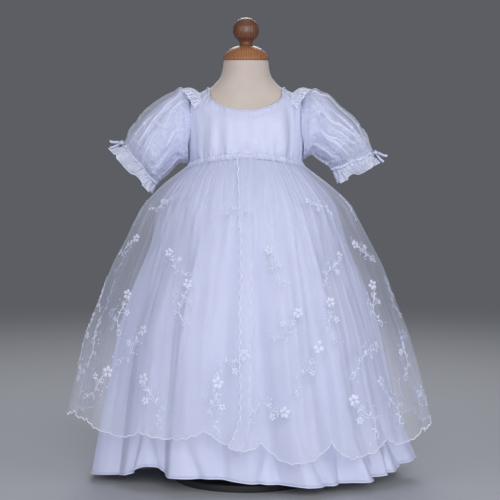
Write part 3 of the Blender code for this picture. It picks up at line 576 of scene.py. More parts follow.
# %% The bodice's sizes and seams
SATIN_WALL = 0.0004
SEAM = 0.0003
WAIST_SIDE, WAIST_RISE, WAIST_GAP = 0.504, 0.018, 0.0008
NECK_POINT, NECKLINE_FRONT, NECKLINE_BACK = 0.6255, 0.5905, 0.612
NECKLINE_SHARE, SIDE_SEAM_SHARE = 0.58, 0.28
ARMHOLE_MIDDLE, ARMHOLE_HALF_HEIGHT, ARMHOLE_HALF_DEPTH = 0.566, 0.0415, 0.0215


def waist_height(angle):
    return WAIST_SIDE + WAIST_RISE * max(math.cos(angle), 0) ** 1.5


def neckline_height(angle, low):
    return low + (NECK_POINT - low) * (1 - abs(math.cos(angle)) ** 3)


def angle_at_depth(depth, height):
    """The angle at which the form is as far forward as depth, at this height."""
    reach = min(abs(depth) / form_depth(height), 1)
    return math.acos(reach ** (form_power(height) / 2))


def seam_angle(height):
    return math.pi / 2 - SEAM / 2 / form_depth(height)


def armhole_edge(turn):
    """The armhole in angle and height: turn 0 is the underarm and pi is the shoulder end."""
    height = ARMHOLE_MIDDLE - ARMHOLE_HALF_HEIGHT * math.cos(turn)
    angle = angle_at_depth(ARMHOLE_HALF_DEPTH * math.sin(turn), height)
    return min(angle, seam_angle(height)), height


print("The neckline dips", round(1000 * (NECK_POINT - NECKLINE_FRONT)), "mm at the front")

# %% The bodice's folds
# Folds that rise from the waist seam: where they stand in degrees, how wide, how high, how deep.
WAIST_FOLDS = table(
    namedtuple("Rise", "angle half_width up depth"),
    (-74, 5, 0.045, 0.0012), (-57, 3, 0.022, 0.0010), (-46, 2.4, 0.030, 0.0015),
    (-39, 2.0, 0.018, 0.0013), (-32, 2.2, 0.024, 0.0014), (-20, 4, 0.050, 0.0012),
    (-5, 2.2, 0.020, 0.0013), (1, 2.0, 0.030, 0.0016), (7, 2.2, 0.018, 0.0012),
    (13, 2.2, 0.026, 0.0015), (20, 2.4, 0.020, 0.0011), (29, 5, 0.055, 0.0014),
    (44, 3.5, 0.040, 0.0013), (56, 2.4, 0.028, 0.0012), (66, 2.4, 0.034, 0.0013),
    (78, 4, 0.045, 0.0011), (-62, 8, 0.110, 0.0015), (-25, 4, 0.090, 0.0013),
    (10, 4, 0.080, 0.0011), (48, 6, 0.110, 0.0017), (-166, 3, 0.030, 0.0012),
    (-147, 4, 0.045, 0.0013), (-128, 3, 0.025, 0.0012), (-108, 4, 0.035, 0.0012),
    (104, 4, 0.040, 0.0012), (123, 3, 0.024, 0.0012), (141, 4, 0.045, 0.0013),
    (163, 3, 0.028, 0.0012),
)
# Broad folds that hang from the neck: where each stands in degrees, how wide it is, how far
# it leans in degrees from the waist to the neck, and how far it stands off the form.
HANGING_FOLDS = table(
    namedtuple("Hang", "angle half_width lean proud"),
    (-62, 11, 4, 0.0034), (-31, 9, 6, 0.0044), (-9, 7, 2, 0.0024), (13, 6, -3, 0.0022),
    (37, 10, -8, 0.0056), (64, 9, -4, 0.0034), (-158, 9, 0, 0.0026), (-127, 10, 4, 0.0034),
    (124, 10, -4, 0.0034), (155, 9, 0, 0.0026),
)
print("The bodice has", len(WAIST_FOLDS) + len(HANGING_FOLDS), "folds")


# %% How far the bodice stands off the form
def bodice_proud(angle, height):
    """The cloth's distance off the form: fullest at the front, and shaped by its folds."""
    degrees = math.degrees((angle + math.pi) % math.tau - math.pi)
    hold = share(0.506, 0.530, height) * share(0.606, 0.572, height)
    up = (height - WAIST_SIDE) / (NECK_POINT - WAIST_SIDE)
    proud = 0.0038 - 0.0012 * share(0.612, 0.624, height)
    for fold in HANGING_FOLDS:
        off = (degrees - fold.angle - fold.lean * up) / fold.half_width
        proud += 0.75 * fold.proud * math.exp(-(off**2)) * hold
    soft = share(WAIST_SIDE, 0.52, height) * share(0.610, 0.590, height)
    return proud + 0.0030 * ripple(angle, 5.2, 13 * height) * soft


def bodice_folds(angle, height):
    """The fine folds, inwards from the smooth bodice: from the waist, and under the neckline."""
    up = height - waist_height(angle)
    sink = 0
    for fold in WAIST_FOLDS:
        off = (math.degrees(angle) - fold.angle) / fold.half_width
        sink += 1.4 * fold.depth * math.exp(-abs(off) ** 1.7) * share(fold.up, 0, up)
    sink += 0.0013 * (1 - pleats(angle, 9 * height, 96)) * share(0.022, 0, up)
    low = NECKLINE_FRONT if math.cos(angle) > 0 else NECKLINE_BACK
    below = neckline_height(angle, low) - height
    return sink + 0.0016 * (1 - pleats(angle, 22 * height, 130)) * share(0.015, 0.001, below)


def on_bodice(angle, height, proud=0.0):
    """A point on the smooth bodice, or proud of it, before its fine folds."""
    return on_form(angle, height, bodice_proud(angle, height) + proud)


def folded(angle, height):
    return on_bodice(angle, height, -min(bodice_folds(angle, height), 0.0030))


print("The bodice's middle is at", [round(c, 3) for c in folded(0, 0.57)])


# %% A quarter of the bodice
def side_edge(t):
    """The side seam, then the armhole, in angle and height."""
    if t <= SIDE_SEAM_SHARE:
        foot, under = WAIST_SIDE + WAIST_GAP, ARMHOLE_MIDDLE - ARMHOLE_HALF_HEIGHT
        height = foot + (under - foot) * t / SIDE_SEAM_SHARE
        return Vector((seam_angle(height), height))
    return Vector(armhole_edge(math.pi * (t - SIDE_SEAM_SHARE) / (1 - SIDE_SEAM_SHARE)))


def waist_edge(s, low):
    angle = s * seam_angle(WAIST_SIDE)
    rise = waist_height(angle) if low == NECKLINE_FRONT else WAIST_SIDE
    return Vector((angle, rise + WAIST_GAP))


def top_edge(s, low):
    """The neckline, then the shoulder, in angle and height."""
    if s <= NECKLINE_SHARE:
        angle = s / NECKLINE_SHARE * seam_angle(NECK_POINT)
        return Vector((angle, neckline_height(angle, low)))
    shoulder = ARMHOLE_MIDDLE + ARMHOLE_HALF_HEIGHT
    u = (s - NECKLINE_SHARE) / (1 - NECKLINE_SHARE)
    height = NECK_POINT + (shoulder - NECK_POINT) * u
    return Vector((seam_angle(height), height))


NECK_STEPS = 54


def bodice_quarter(low):
    """Rows up from the waist in angle and height, each from the centre line to the side."""
    bottom = waist_edge(0, low).y
    shares = evenly(0, NECKLINE_SHARE, NECK_STEPS) + evenly(NECKLINE_SHARE, 1, 26)[1:]
    rows = []
    for t in evenly(0, 1, 64):
        centre = Vector((0, bottom + (neckline_height(0, low) - bottom) * t))
        row = []
        for s in shares:
            sides = (1 - s) * centre + s * side_edge(t)
            ends = (1 - t) * waist_edge(s, low) + t * top_edge(s, low)
            corners = (1 - t) * ((1 - s) * waist_edge(0, low) + s * waist_edge(1, low))
            corners += t * ((1 - s) * top_edge(0, low) + s * top_edge(1, low))
            row.append(sides + ends - corners)
        rows.append(row)
    return rows


front_quarter, back_quarter = bodice_quarter(NECKLINE_FRONT), bodice_quarter(NECKLINE_BACK)
print("A quarter is", len(front_quarter), "rows of", len(front_quarter[0]), "points")


# %% The bodice's three pieces
def wall(thing, thickness=SATIN_WALL, offset=-1):
    """Gives a skin its thickness, inwards unless it is told otherwise."""
    solid = thing.modifiers.new("cloth", "SOLIDIFY")
    solid.thickness, solid.offset = thickness, offset
    return thing


def handed(side, rows):
    """Rows in the order that turns a skin's faces outwards on its side of the gown."""
    return rows if side == "left" else [row[::-1] for row in rows]


SIDES = {"left": -1, "right": 1}
rows = []
for row in reversed(front_quarter):
    left = [folded(-spot.x, spot.y) for spot in reversed(row[1:])]
    rows.append(left + [folded(spot.x, spot.y) for spot in row])
front = skin("bodice_front_panel", rows, satin, "satin", "bodice_front", cut=(0.27, 0.13))
bodice_front = wall(front)
for side, way in SIDES.items():
    rows = []
    for row in reversed(back_quarter):
        opening = SEAM / 2 / form_width(row[0].y)
        rows.append([folded(way * (math.pi - max(s.x, opening)), s.y) for s in row])
    name, node = f"bodice_back_panel_{side}", f"bodice_back_{side}"
    back = skin(name, handed(side, rows), satin, "satin", node, cut=(0.14, 0.14))
    wall(back)
print("The bodice front has", len(bodice_front.data.polygons), "faces")

# %% [markdown]
# ## Node trees for cords and stitches
#
# Cords, rolled edges and stitches all follow a line on the cloth. Three small node trees make
# them: one wraps a line in a round cord, one sets stitches along a line at a steady pitch, and
# one sets a given shape on loose points. A tree needs no edit when the line moves, and it
# leaves a plain mesh behind once it has run.


# %% Helpers that start and end a node tree
def new_tree(name, *inputs):
    """An empty geometry tree, and the sockets of its named inputs."""
    tree = bpy.data.node_groups.new(name, "GeometryNodeTree")
    kinds = {"Lines": "Geometry", "Thread": "Material", "Shape": "Object"}
    for label in inputs:
        kind = "NodeSocket" + kinds.get(label, "Float")
        tree.interface.new_socket(label, in_out="INPUT", socket_type=kind)
    tree.interface.new_socket("Made", in_out="OUTPUT", socket_type="NodeSocketGeometry")
    return tree, add(tree, "NodeGroupInput").outputs


def close_tree(tree, geometry, thread):
    """Ends a tree in real, not instanced, geometry with its material."""
    real = add(tree, "GeometryNodeRealizeInstances", {"Geometry": geometry})
    done = add(tree, "GeometryNodeSetMaterial", {"Geometry": real, "Material": thread})
    add(tree, "NodeGroupOutput", {"Made": done})
    print(tree.name, "has", len(tree.nodes), "nodes")


def set_on_points(tree, points, shape, turn, size, thread):
    """Ends a tree in a shape that is set on points, each with its own turn and size."""
    sockets = {"Points": points, "Instance": shape, "Rotation": turn, "Scale": size}
    close_tree(tree, add(tree, "GeometryNodeInstanceOnPoints", sockets), thread)


def vector_called(tree, name):
    """The vector that each point of the start mesh keeps under a name."""
    return add(tree, "GeometryNodeInputNamedAttribute", {"Name": name}, data_type="FLOAT_VECTOR")


# %% A tree for cords
cord_tree, given = new_tree("cord_along_lines", "Lines", "Radius", "Thread")
line = add(cord_tree, "GeometryNodeMeshToCurve", {"Mesh": given["Lines"]})
section = {"Resolution": 8, "Radius": given["Radius"]}
section = add(cord_tree, "GeometryNodeCurvePrimitiveCircle", section)
tube = {"Curve": line, "Profile Curve": section, "Fill Caps": True}
tube = add(cord_tree, "GeometryNodeCurveToMesh", tube)
smooth_tube = add(cord_tree, "GeometryNodeSetShadeSmooth", {"Geometry": tube})
close_tree(cord_tree, smooth_tube, given["Thread"])

# %% A tree for stitches along a line
sizes = ("Pitch", "Length", "Width", "Height", "Slant")
tree, given = new_tree("stitches_along_lines", "Lines", *sizes, "Thread")
stitch_tree = tree
line = add(tree, "GeometryNodeMeshToCurve", {"Mesh": given["Lines"]})
pitch = {"Curve": line, "Length": given["Pitch"]}
spaced = add(tree, "GeometryNodeResampleCurve", pitch, mode="LENGTH")
# Each stitch lies along the line with its top away from the cloth, and then turns by its slant.
tangent = {"Vector": add(tree, "GeometryNodeInputTangent")}
along_line = add(tree, "FunctionNodeAlignRotationToVector", tangent, axis="X")
away = {"Rotation": along_line, "Vector": vector_called(tree, "away")}
lying = add(tree, "FunctionNodeAlignRotationToVector", away, axis="Z", pivot_axis="X")
slant = {"Rotation": lying, "Rotate By": add(tree, "ShaderNodeCombineXYZ", {"Z": given["Slant"]})}
slanted = add(tree, "FunctionNodeRotateRotation", slant, rotation_space="LOCAL")
size = {"X": given["Length"], "Y": given["Width"], "Z": given["Height"]}
size = add(tree, "ShaderNodeCombineXYZ", size)
ball = add(tree, "GeometryNodeMeshUVSphere", {"Segments": 6, "Rings": 4, "Radius": 0.5})
smooth_ball = add(tree, "GeometryNodeSetShadeSmooth", {"Geometry": ball})
set_on_points(tree, spaced, smooth_ball, slanted, size, given["Thread"])

# %% A tree for shapes on points
tree, given = new_tree("shapes_on_points", "Lines", "Shape", "Thread")
shape_tree = tree
turn, size = vector_called(tree, "turn"), vector_called(tree, "size")
shape = add(tree, "GeometryNodeObjectInfo", {"Object": given["Shape"]}).outputs["Geometry"]
set_on_points(tree, given["Lines"], shape, turn, size, given["Thread"])


# %% Helpers that run a tree
def grown(name, start, slot, tree, node=None, **inputs):
    """The plain mesh piece that a tree grows from a start mesh."""
    thing = new_object(name, start)
    modifier = thing.modifiers.new("grow", "NODES")
    modifier.node_group = tree
    for socket in tree.interface.items_tree:
        if socket.name in inputs:
            modifier[socket.identifier] = inputs[socket.name]
    made = baked(thing)
    thing.modifiers.clear()
    thing.data = made
    return as_piece(thing, slot, node)


def line_mesh(name, lines, aways=None):
    """A mesh of edges through lines of points, with each point's way out of the cloth."""
    points, edges = [], []
    for line in lines:
        edges += [(len(points) + k, len(points) + k + 1) for k in range(len(line) - 1)]
        points += line
    mesh = bpy.data.meshes.new(name)
    mesh.from_pydata(points, edges, [])
    if aways:
        spread = [part for line in aways for away in line for part in away]
        mesh.attributes.new("away", "FLOAT_VECTOR", "POINT").data.foreach_set("vector", spread)
    return mesh


def cord(name, line, slot, radius, finish, node=None):
    """A round cord along a line of points."""
    start = line_mesh("cord_line", [line])
    return grown(name, start, slot, cord_tree, node, Radius=radius, Thread=finish)


def stitched(name, lines, aways, finish, **stitch):
    """Stitches along lines of points. What a stitch measures is given by its sockets' names."""
    start = line_mesh("stitch_lines", lines, aways)
    return grown(name, start, "organza", stitch_tree, Thread=finish, **stitch)


print("grown() runs a tree and keeps a plain mesh")

# %% [markdown]
# ## Binding, waist band and buttons
#
# The neckline is bound with a narrow roll of the satin, which is a cord along the bodice's top
# edge. A ruched band covers the waist seam: it is one strip, drawn up on threads above and
# below, so it stands in small puffs with a hard crease between them. Three pearl buttons close
# the back.

# %% The neck binding
BINDING_RADIUS, BINDING_OPENING, BINDING_IN, BINDING_UP = 0.0016, 0.02, 0.0003, 0.0011


def neck_row(side, row):
    """A row of the bodice on one side, from the centre front round to the back opening."""
    spots = [(spot.x, spot.y) for spot in front_quarter[row][: NECK_STEPS + 1]]
    for spot in back_quarter[row][NECK_STEPS - 1 :: -1]:
        spots.append((math.pi - max(spot.x, BINDING_OPENING), spot.y))
    return [folded(side * turn, height) for turn, height in spots]


def neck_edge(side):
    """The binding's middle on one side: the bodice's last row, moved up and inwards."""
    under, edge = neck_row(side, -2), neck_row(side, -1)
    points = []
    for k, point in enumerate(edge):
        tangent = edge[min(k + 1, len(edge) - 1)] - edge[max(k - 1, 0)]
        up = (point - under[k]).normalized()
        out = side * tangent.cross(up).normalized()
        up = side * out.cross(tangent).normalized()
        points.append(point - out * BINDING_IN + up * BINDING_UP)
    return points


path = neck_edge(-1)[:0:-1] + neck_edge(1)
binding = cord("neck_binding_roll", path, "satin", BINDING_RADIUS, satin, "neck_binding")
length = sum((a - b).length for a, b in zip(path, path[1:]))
print("The binding is", round(1000 * length), "mm long")

# %% The ruched waist band
TRIM_HEIGHT, TRIM_DEPTH, PUFFS = 0.0100, 0.0024, 92
TRIM_OVERLAP, SKIRT_TOP = 0.0048, 0.0062
rows = [[] for _ in range(11)]
for angle in round_turn(7 * PUFFS):
    beat = abs(math.sin(PUFFS / 2 * angle + 2.6 * ripple(angle, 11)))
    tall = pleats(angle, 3, 60)
    foot = waist_height(angle) + WAIST_GAP - TRIM_OVERLAP - 0.0012 * pleats(angle, 8, 80)
    for i, row in enumerate(rows):
        lift = math.pi * i / (len(rows) - 1)
        puff = 0.2 + 0.6 * beat**0.7 + 0.45 * pleats(angle, 2.7 * lift, 150)
        lean = SKIRT_TOP * share(0.3 * math.pi, 1.05 * math.pi, lift)
        out = 0.0003 + lean + TRIM_DEPTH * 0.8 * puff * math.sin(lift) ** 0.7
        height = foot + TRIM_HEIGHT * (0.5 + 0.5 * math.cos(lift)) * (0.72 + 0.28 * tall)
        row.append(on_bodice(angle, height, out))
band = skin("ruched_waist_band", rows, satin, "satin", "waist_trim", ring=True, cut=(0.72, 0.012))
waist_band = wall(band, 0.0003)
print("The band has", PUFFS, "puffs")

# %% The buttons
BUTTON_PROFILE = table(
    Turning,
    (0, 0.0018), (0.0022, 0.0018), (0.0030, 0.0025), (0.0038, 0.0024), (0.0042, 0.0014),
    (0.0036, 0.0004), (0, 0),
)
BUTTON_HEIGHTS = (0.535, 0.566, 0.597)
points = rounded(BUTTON_PROFILE, 0)
for number, height in enumerate(BUTTON_HEIGHTS, 1):
    out = on_bodice(math.pi, height, 0.01) - on_bodice(math.pi, height)
    lie = Matrix.Translation(on_bodice(math.pi, height, SEAM))
    lie = lie @ out.to_track_quat("Z", "Y").to_matrix().to_4x4()
    name, node = f"pearl_button_{number}", f"back_button_{number}"
    turned(name, points, pearl, "pearl_button", node, steps=32, place=lie)
print(len(BUTTON_HEIGHTS), "buttons close the back")

# %% [markdown]
# ## The sleeves
#
# A puffed sleeve is cut much wider than the armhole and the arm, and drawn up at both. Here
# each one is a tube through oval sections, from the armhole to the cuff, with folds between the
# gathers. The organza lies over a satin layer that is a little smaller, so a clear margin shows
# round the satin. The satin only sinks softly between its folds, while the crisp organza is
# pinched into thin creases that lie double and show as white lines. A band holds the cuff, a
# frill stands out past it, and a ribbon bow ends it.

# %% The sleeves' sections
# The armhole is place 0, the cuff band is place 6 and the frill ends at place 7.
Cuff = namedtuple("Cuff", "place top_out top_up under_out under_up half_depth satin_in")
SLEEVES = {
    "left": table(
        Cuff,
        (0, 0.0900, 0.6110, 0.0900, 0.5190, 0.0258, 0.0018),
        (1, 0.1065, 0.6255, 0.1010, 0.5130, 0.0400, 0.0050),
        (2, 0.1215, 0.6205, 0.1090, 0.5070, 0.0500, 0.0080),
        (3, 0.1400, 0.6095, 0.1180, 0.4980, 0.0550, 0.0095),
        (4, 0.1640, 0.5885, 0.1290, 0.4885, 0.0540, 0.0090),
        (5, 0.1860, 0.5570, 0.1385, 0.4815, 0.0430, 0.0070),
        (5.7, 0.1925, 0.5400, 0.1415, 0.4790, 0.0262, 0.0044),
        (6, 0.1945, 0.5360, 0.1430, 0.4765, 0.0250, 0.0044),
        (7, 0.2155, 0.5290, 0.1535, 0.4640, 0.0330, 0),
    ),
    "right": table(
        Cuff,
        (0, 0.0900, 0.6110, 0.0900, 0.5230, 0.0258, 0.0018),
        (1, 0.1130, 0.6235, 0.0985, 0.5225, 0.0400, 0.0050),
        (2, 0.1290, 0.6200, 0.1060, 0.5210, 0.0500, 0.0080),
        (3, 0.1500, 0.6000, 0.1145, 0.5150, 0.0550, 0.0095),
        (4, 0.1740, 0.5785, 0.1240, 0.5100, 0.0530, 0.0090),
        (5, 0.1925, 0.5495, 0.1315, 0.5055, 0.0420, 0.0070),
        (5.7, 0.2000, 0.5275, 0.1365, 0.5020, 0.0262, 0.0044),
        (6, 0.2010, 0.5225, 0.1380, 0.4985, 0.0250, 0.0044),
        (7, 0.2090, 0.5075, 0.1510, 0.4790, 0.0330, 0),
    ),
}
sleeve_curves = {
    side: {column: smooth(rows, column) for column in Cuff._fields[1:]}
    for side, rows in SLEEVES.items()
}
print("A sleeve has", len(SLEEVES["left"]), "sections")

# %% The sleeves' long folds
# The quarter turns from the top towards the front at the armhole and at the cuff, the half
# width in degrees, the depth, and where each begins and ends along the sleeve.
Crease = namedtuple("Crease", "head cuff half_width depth start end")
UNDER_FOLDS = table(
    Crease,
    (-0.60, -0.70, 8, 0.0034, 0.8, 5.4), (-1.20, -1.25, 8, 0.0034, 0.8, 5.4),
    (-1.65, -1.60, 8, 0.0028, 0.8, 5.4),
)
SLEEVE_FOLDS = {
    "left": UNDER_FOLDS
    + table(
        Crease,
        (0.28, 0.86, 6, 0.0036, 0.6, 5.4), (0.45, 1.25, 6, 0.0026, 0.2, 2.9),
        (1.36, 0.16, 5, 0.0020, 2.4, 3.9), (0.50, 0.52, 5, 0.0024, 3.6, 5.6),
        (0.30, 1.20, 5, 0.0026, 3.6, 5.6), (1.20, 1.50, 6, 0.0028, 2.8, 5.6),
        (1.00, 1.40, 6, 0.0020, 1.2, 3.4), (1.62, 1.70, 6, 0.0026, 1.0, 5.6),
    ),
    "right": UNDER_FOLDS
    + table(
        Crease,
        (0.28, 0.36, 6, 0.0032, 0.4, 5.7), (0.29, 1.70, 5, 0.0022, 0.1, 2.0),
        (0.45, 2.05, 5, 0.0018, 0.8, 2.3), (0.52, 0.56, 5, 0.0020, 2.6, 5.6),
        (0.84, 0.58, 6, 0.0038, 0.7, 5.7), (0.98, 0.74, 5, 0.0024, 3.0, 5.6),
        (1.24, 0.88, 5, 0.0028, 2.3, 5.7), (1.17, 1.08, 6, 0.0032, 1.9, 5.6),
        (1.45, 1.40, 6, 0.0028, 1.4, 5.6), (1.75, 1.75, 6, 0.0026, 1.4, 5.6),
    ),
}
print("The left sleeve has", len(SLEEVE_FOLDS["left"]), "long folds")


# %% Points on a sleeve
def sleeve_point(side, place, turn, swell=0.0, inset=False):
    """A point of a sleeve: turn 0 is its top and a quarter turn its front."""
    row = {column: curve(place) for column, curve in sleeve_curves[side].items()}
    top = Vector((row["top_out"], 0, row["top_up"]))
    under = Vector((row["under_out"], 0, row["under_up"]))
    middle, reach = (top + under) / 2, (top - under) / 2
    smaller = row["satin_in"] if inset else 0
    lift = (reach.length + swell) * math.cos(turn)
    lift -= smaller * math.cos(turn) * (1 if math.cos(turn) > 0 else 0.8)
    point = middle + reach.normalized() * lift
    point.y -= (row["half_depth"] + swell - smaller) * math.sin(turn)
    point.x *= SIDES[side]
    return point


def armhole_ring(side, turn, margin):
    """A point of the sleeve's seam, which lies on the bodice round the armhole."""
    y = -(ARMHOLE_HALF_DEPTH + margin + 0.0045) * math.sin(turn)
    height = ARMHOLE_MIDDLE + (ARMHOLE_HALF_HEIGHT + margin) * math.cos(turn)
    angle = angle_at_depth(y, height)
    point = on_bodice(math.pi - angle if y > 0 else angle, height, 0.0012)
    point.x *= SIDES[side]
    return point


def fold_lines(side, place, turn):
    """How far off each long fold is, in half widths, and how strongly it shows here."""
    quarters = math.degrees(turn) / 90
    stray = 0.07 * ripple(turn, 2, 0.9 * place)
    for fold in SLEEVE_FOLDS[side]:
        spot = fold.head + (fold.cuff - fold.head) * place / 6 + stray
        off = ((quarters - spot + 2) % 4 - 2) * 90 / fold.half_width
        begun = share(fold.start - 0.6, fold.start + 0.8, place)
        yield fold.depth, abs(off), begun * share(fold.end, fold.end - 1, place)


def head_puff(place):
    """The gathered head springs out from the armhole seam at once."""
    return 0.0060 * share(-0.15, 0.2, place) * share(1.6, 0.5, place)


print("The left cuff's top is at", [round(c, 3) for c in sleeve_point("left", 6, 0)])


# %% How the two layers of a sleeve swell
def satin_swell(side, place, turn):
    """How far the lining is pushed out or in: gathers at both ends and soft folds."""
    folds = fold_lines(side, place, turn)
    swell = sum(-0.8 * depth * hold * math.exp(-(off**1.5)) for depth, off, hold in folds)
    ends = share(1.1, 0.2, place) + share(4.5, 5.7, place)
    swell += 0.0016 * (pleats(turn, 0.35 * place, 44) - 0.5) * ends
    soft, dent = ripple(turn, 2.4, 0.9 * place), ripple(turn, 5, 1.6 * place)
    middle = share(0, 1.5, place) * share(6, 5, place)
    return swell + (0.0048 * soft + 0.0016 * dent) * middle + head_puff(place)


def organza_swell(side, place, turn):
    """How far the organza is pushed out or in, and how far it lies double."""
    folds = fold_lines(side, place, turn)
    creased = max(hold * math.exp(-((2.4 * off) ** 1.6)) for _, off, hold in folds)
    cuffward, headward = share(4.2, 5.7, place), share(1.0, 0.2, place)
    fine = pleats(turn, 0.45 * place, 62)
    crumple = pleats(turn, 0.5 * place + 9, 22)
    seam = math.exp(-(((place - 0.22) / 0.14) ** 2))
    crushed = max(1 - 6 * abs(ripple(turn, 3.2, 1.9 * place + 4)), 0)
    crushed *= share(2.4, 4.4, place) * share(6, 5.5, place)
    swell = 0.0024 * creased + (0.0026 * cuffward + 0.0012 * headward) * (fine - 0.4)
    middle = share(0.3, 1.5, place) * share(6, 5, place)
    swell += 0.0020 * crushed + 0.0006 * (crumple - 0.3) * middle + 0.0012 * seam
    double = 0.8 * creased + 0.03 * crumple**2 * middle + 0.14 + 0.4 * seam + 0.3 * crushed
    gathered = (0.2 + 0.4 * fine**2) * max(cuffward, 0.4 * headward)
    return swell + head_puff(place), min(double + gathered, 1)


def satin_spot(side, place, turn):
    """A point of the lining, and how far it lies double, which it never does."""
    if place == 0:
        return armhole_ring(side, turn, 0.0010), 0
    return sleeve_point(side, place, turn, satin_swell(side, place, turn), inset=True), 0


def organza_spot(side, place, turn):
    swell, double = organza_swell(side, place, turn)
    if place == 0:
        return armhole_ring(side, turn, 0.0022), double
    return sleeve_point(side, place, turn, swell), double


print("The left sleeve's front swells by", round(1000 * organza_swell("left", 3, 1)[0], 1), "mm")


# %% The two layers of each sleeve
def tube(name, node, side, slot, spot, places, count, cut):
    """A ring skin from a function of side, place and turn, and its last row of points."""
    grid = [[spot(side, place, turn) for turn in round_turn(count)] for place in places]
    rows = handed(side, [[point for point, _ in row] for row in grid])
    double = handed(side, [[amount for _, amount in row] for row in grid])
    finish = satin if slot == "satin" else organza
    piece = skin(name, rows, finish, slot, f"{node}_{side}", ring=True, cut=cut, double=double)
    return piece, rows[-1]


SLEEVE_PLACES = evenly(0, 1, 10) + evenly(1, 4, 30)[1:] + evenly(4, 6, 28)[1:]
LAYERS = (("satin", "undersleeve", satin_spot, 150), ("organza", "sleeve", organza_spot, 210))
sleeve_layers = {}
for side in SIDES:
    for slot, node, spot, count in LAYERS:
        name = f"sleeve_{slot}_{side}"
        piece, _ = tube(name, node, side, slot, spot, SLEEVE_PLACES, count, (0.36, 0.12))
        sleeve_layers[name] = wall(piece) if slot == "satin" else piece
print("The sleeves' layers are", list(sleeve_layers))

# %% The cuff bands and frills
# How far each ring of the band stands off the sleeve, by its place along it.
BAND_PROUD = {5.72: 0.0006, 5.78: 0.0014, 5.86: 0.0010, 5.93: 0.0016, 6.05: 0.0006}


def band_spot(side, place, turn):
    pleat, at = pleats(turn, 3 * place, 62), place + 0.20 * ripple(turn, 2.5, 5)
    return sleeve_point(side, at, turn, BAND_PROUD[place] + 0.0026 * pleat), 0.6 + 0.4 * pleat


def frill_spot(side, place, turn):
    """A point of the frill, which is ruffled, finely gathered and ragged at its edge."""
    jog = ripple(turn, 1.5, 3)
    ruffle = math.cos(9 * turn + 5 * jog) * (0.8 + 0.9 * jog)
    fine = pleats(turn, 0.6 * place, 62)
    wave = 0.0060 * ruffle * share(5.9, 7.1, place) + 0.0034 * (fine - 0.4)
    ragged = 0.22 * math.cos(5 * turn + 3 * jog) * share(6.2, 7, place)
    double = 0.5 + 0.45 * fine**2 + 0.25 * share(6.6, 6.0, place)
    return sleeve_point(side, min(place + ragged, 7), turn, wave), double


cuff_bands, cuff_frills = {}, {}
for side in SIDES:
    name, cut = f"cuff_elastic_band_{side}", (0.16, 0.010)
    band, _ = tube(name, "cuff_band", side, "organza", band_spot, BAND_PROUD, 260, cut)
    cuff_bands[side] = wall(band, 0.0006)
    name, places, cut = f"cuff_frill_{side}_organza", evenly(6.0, 7, 16), (0.30, 0.020)
    frill, edge = tube(name, "cuff_frill", side, "organza", frill_spot, places, 320, cut)
    name = f"cuff_frill_{side}_rolled_edge"
    cuff_frills[side] = frill, cord(name, edge + edge[:1], "organza", 0.0005, edge_thread)
print("Each cuff has a band, a frill and a rolled edge")

# %% Helpers for a ribbon bow
BOW_RIBBON, BOW_SIZE = 0.0046, 1.3


def ribbon(middles, widths, across):
    """The rows of a ribbon along middle points, as wide as given, its width along one way."""
    return [[m - across * w / 2, m, m + across * w / 2] for m, w in zip(middles, widths)]


def bow_parts():
    """The rows of a bow's two loops and two tails, with its knot at the origin."""
    parts = []
    for way in (-1, 1):
        middles, widths = [], []
        for turn in evenly(0, math.tau, 28):
            x = 0.0008 + 0.0085 * (0.5 - 0.5 * math.cos(turn))
            y = 0.0026 * math.sin(turn) * math.sin(turn / 2) ** 0.5
            middles.append(Vector((way * x, y, 0.0006 * math.sin(2 * turn))))
            widths.append(BOW_RIBBON * (0.35 + 0.65 * share(0, 0.006, x)))
        parts.append(ribbon(middles, widths, Vector((0, 0, 1))))
        middles, widths = [], []
        for drop in evenly(0, 1, 14):
            curl = -0.0012 * math.sin(math.pi * drop) + 0.0006 * math.sin(5 * drop)
            apart = way * (0.0006 + 0.0034 * drop)
            middles.append(Vector((0.6 * apart, curl + apart, -0.0150 * drop)))
            widths.append(BOW_RIBBON * (0.35 + 0.35 * share(0, 0.3, drop)))
        parts.append(ribbon(middles, widths, Vector((0.35 * way, 1, 0)).normalized()))
    return parts


def join(name, things):
    """One piece from several that have one finish."""
    shape = bmesh.new()
    for thing in things:
        shape.from_mesh(baked(thing))
    keep = things[0]
    for thing in things[1:]:
        bpy.data.objects.remove(thing)
    keep.modifiers.clear()
    keep.name = name
    shape.to_mesh(keep.data)
    shape.free()
    return keep


print("A bow has", len(bow_parts()), "strips and a knot")

# %% The ribbon bows
BOW_TAILS = {"left": (0.97, -0.10), "right": (0.86, -0.50)}
for side, way in SIDES.items():
    tails = Vector((BOW_TAILS[side][0] * way, 0, BOW_TAILS[side][1])).normalized()
    forward = Vector((0, -way, 0))
    lie = Matrix((forward, (-tails).cross(forward), -tails)).transposed().to_4x4()
    lie = Matrix.Translation(sleeve_point(side, 5.9, 0, 0.0058)) @ lie @ Matrix.Scale(BOW_SIZE, 4)
    strips = []
    for rows in bow_parts():
        rows = [[lie @ point for point in row] for row in rows]
        strips.append(wall(skin("strip", rows, satin, "satin", cut=(0.006, 0.02)), offset=0))
    rows = []
    for level in evenly(1.2, -1.2, 8):
        out, up = 0.0021 * math.cos(level), 0.0024 * math.sin(level)
        ring = [Vector((out * math.cos(t), out * math.sin(t), up)) for t in round_turn(16)]
        rows.append([lie @ point for point in ring])
    knot = skin("knot", rows, satin, "satin", ring=True, cut=(0.012, 0.005))
    close_ends(knot)
    join(f"cuff_ribbon_bow_{side}", strips + [knot])
    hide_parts("cuff_bow_" + side)
print("A ribbon bow ends each cuff band")

# %% [markdown]
# ## The lace frills over the shoulders
#
# Each frill is a strip of lace, gathered along one edge and sewn over the shoulder from the
# chest to the back. It lies nearly flat, fuller in the middle, and its free edge is scalloped.


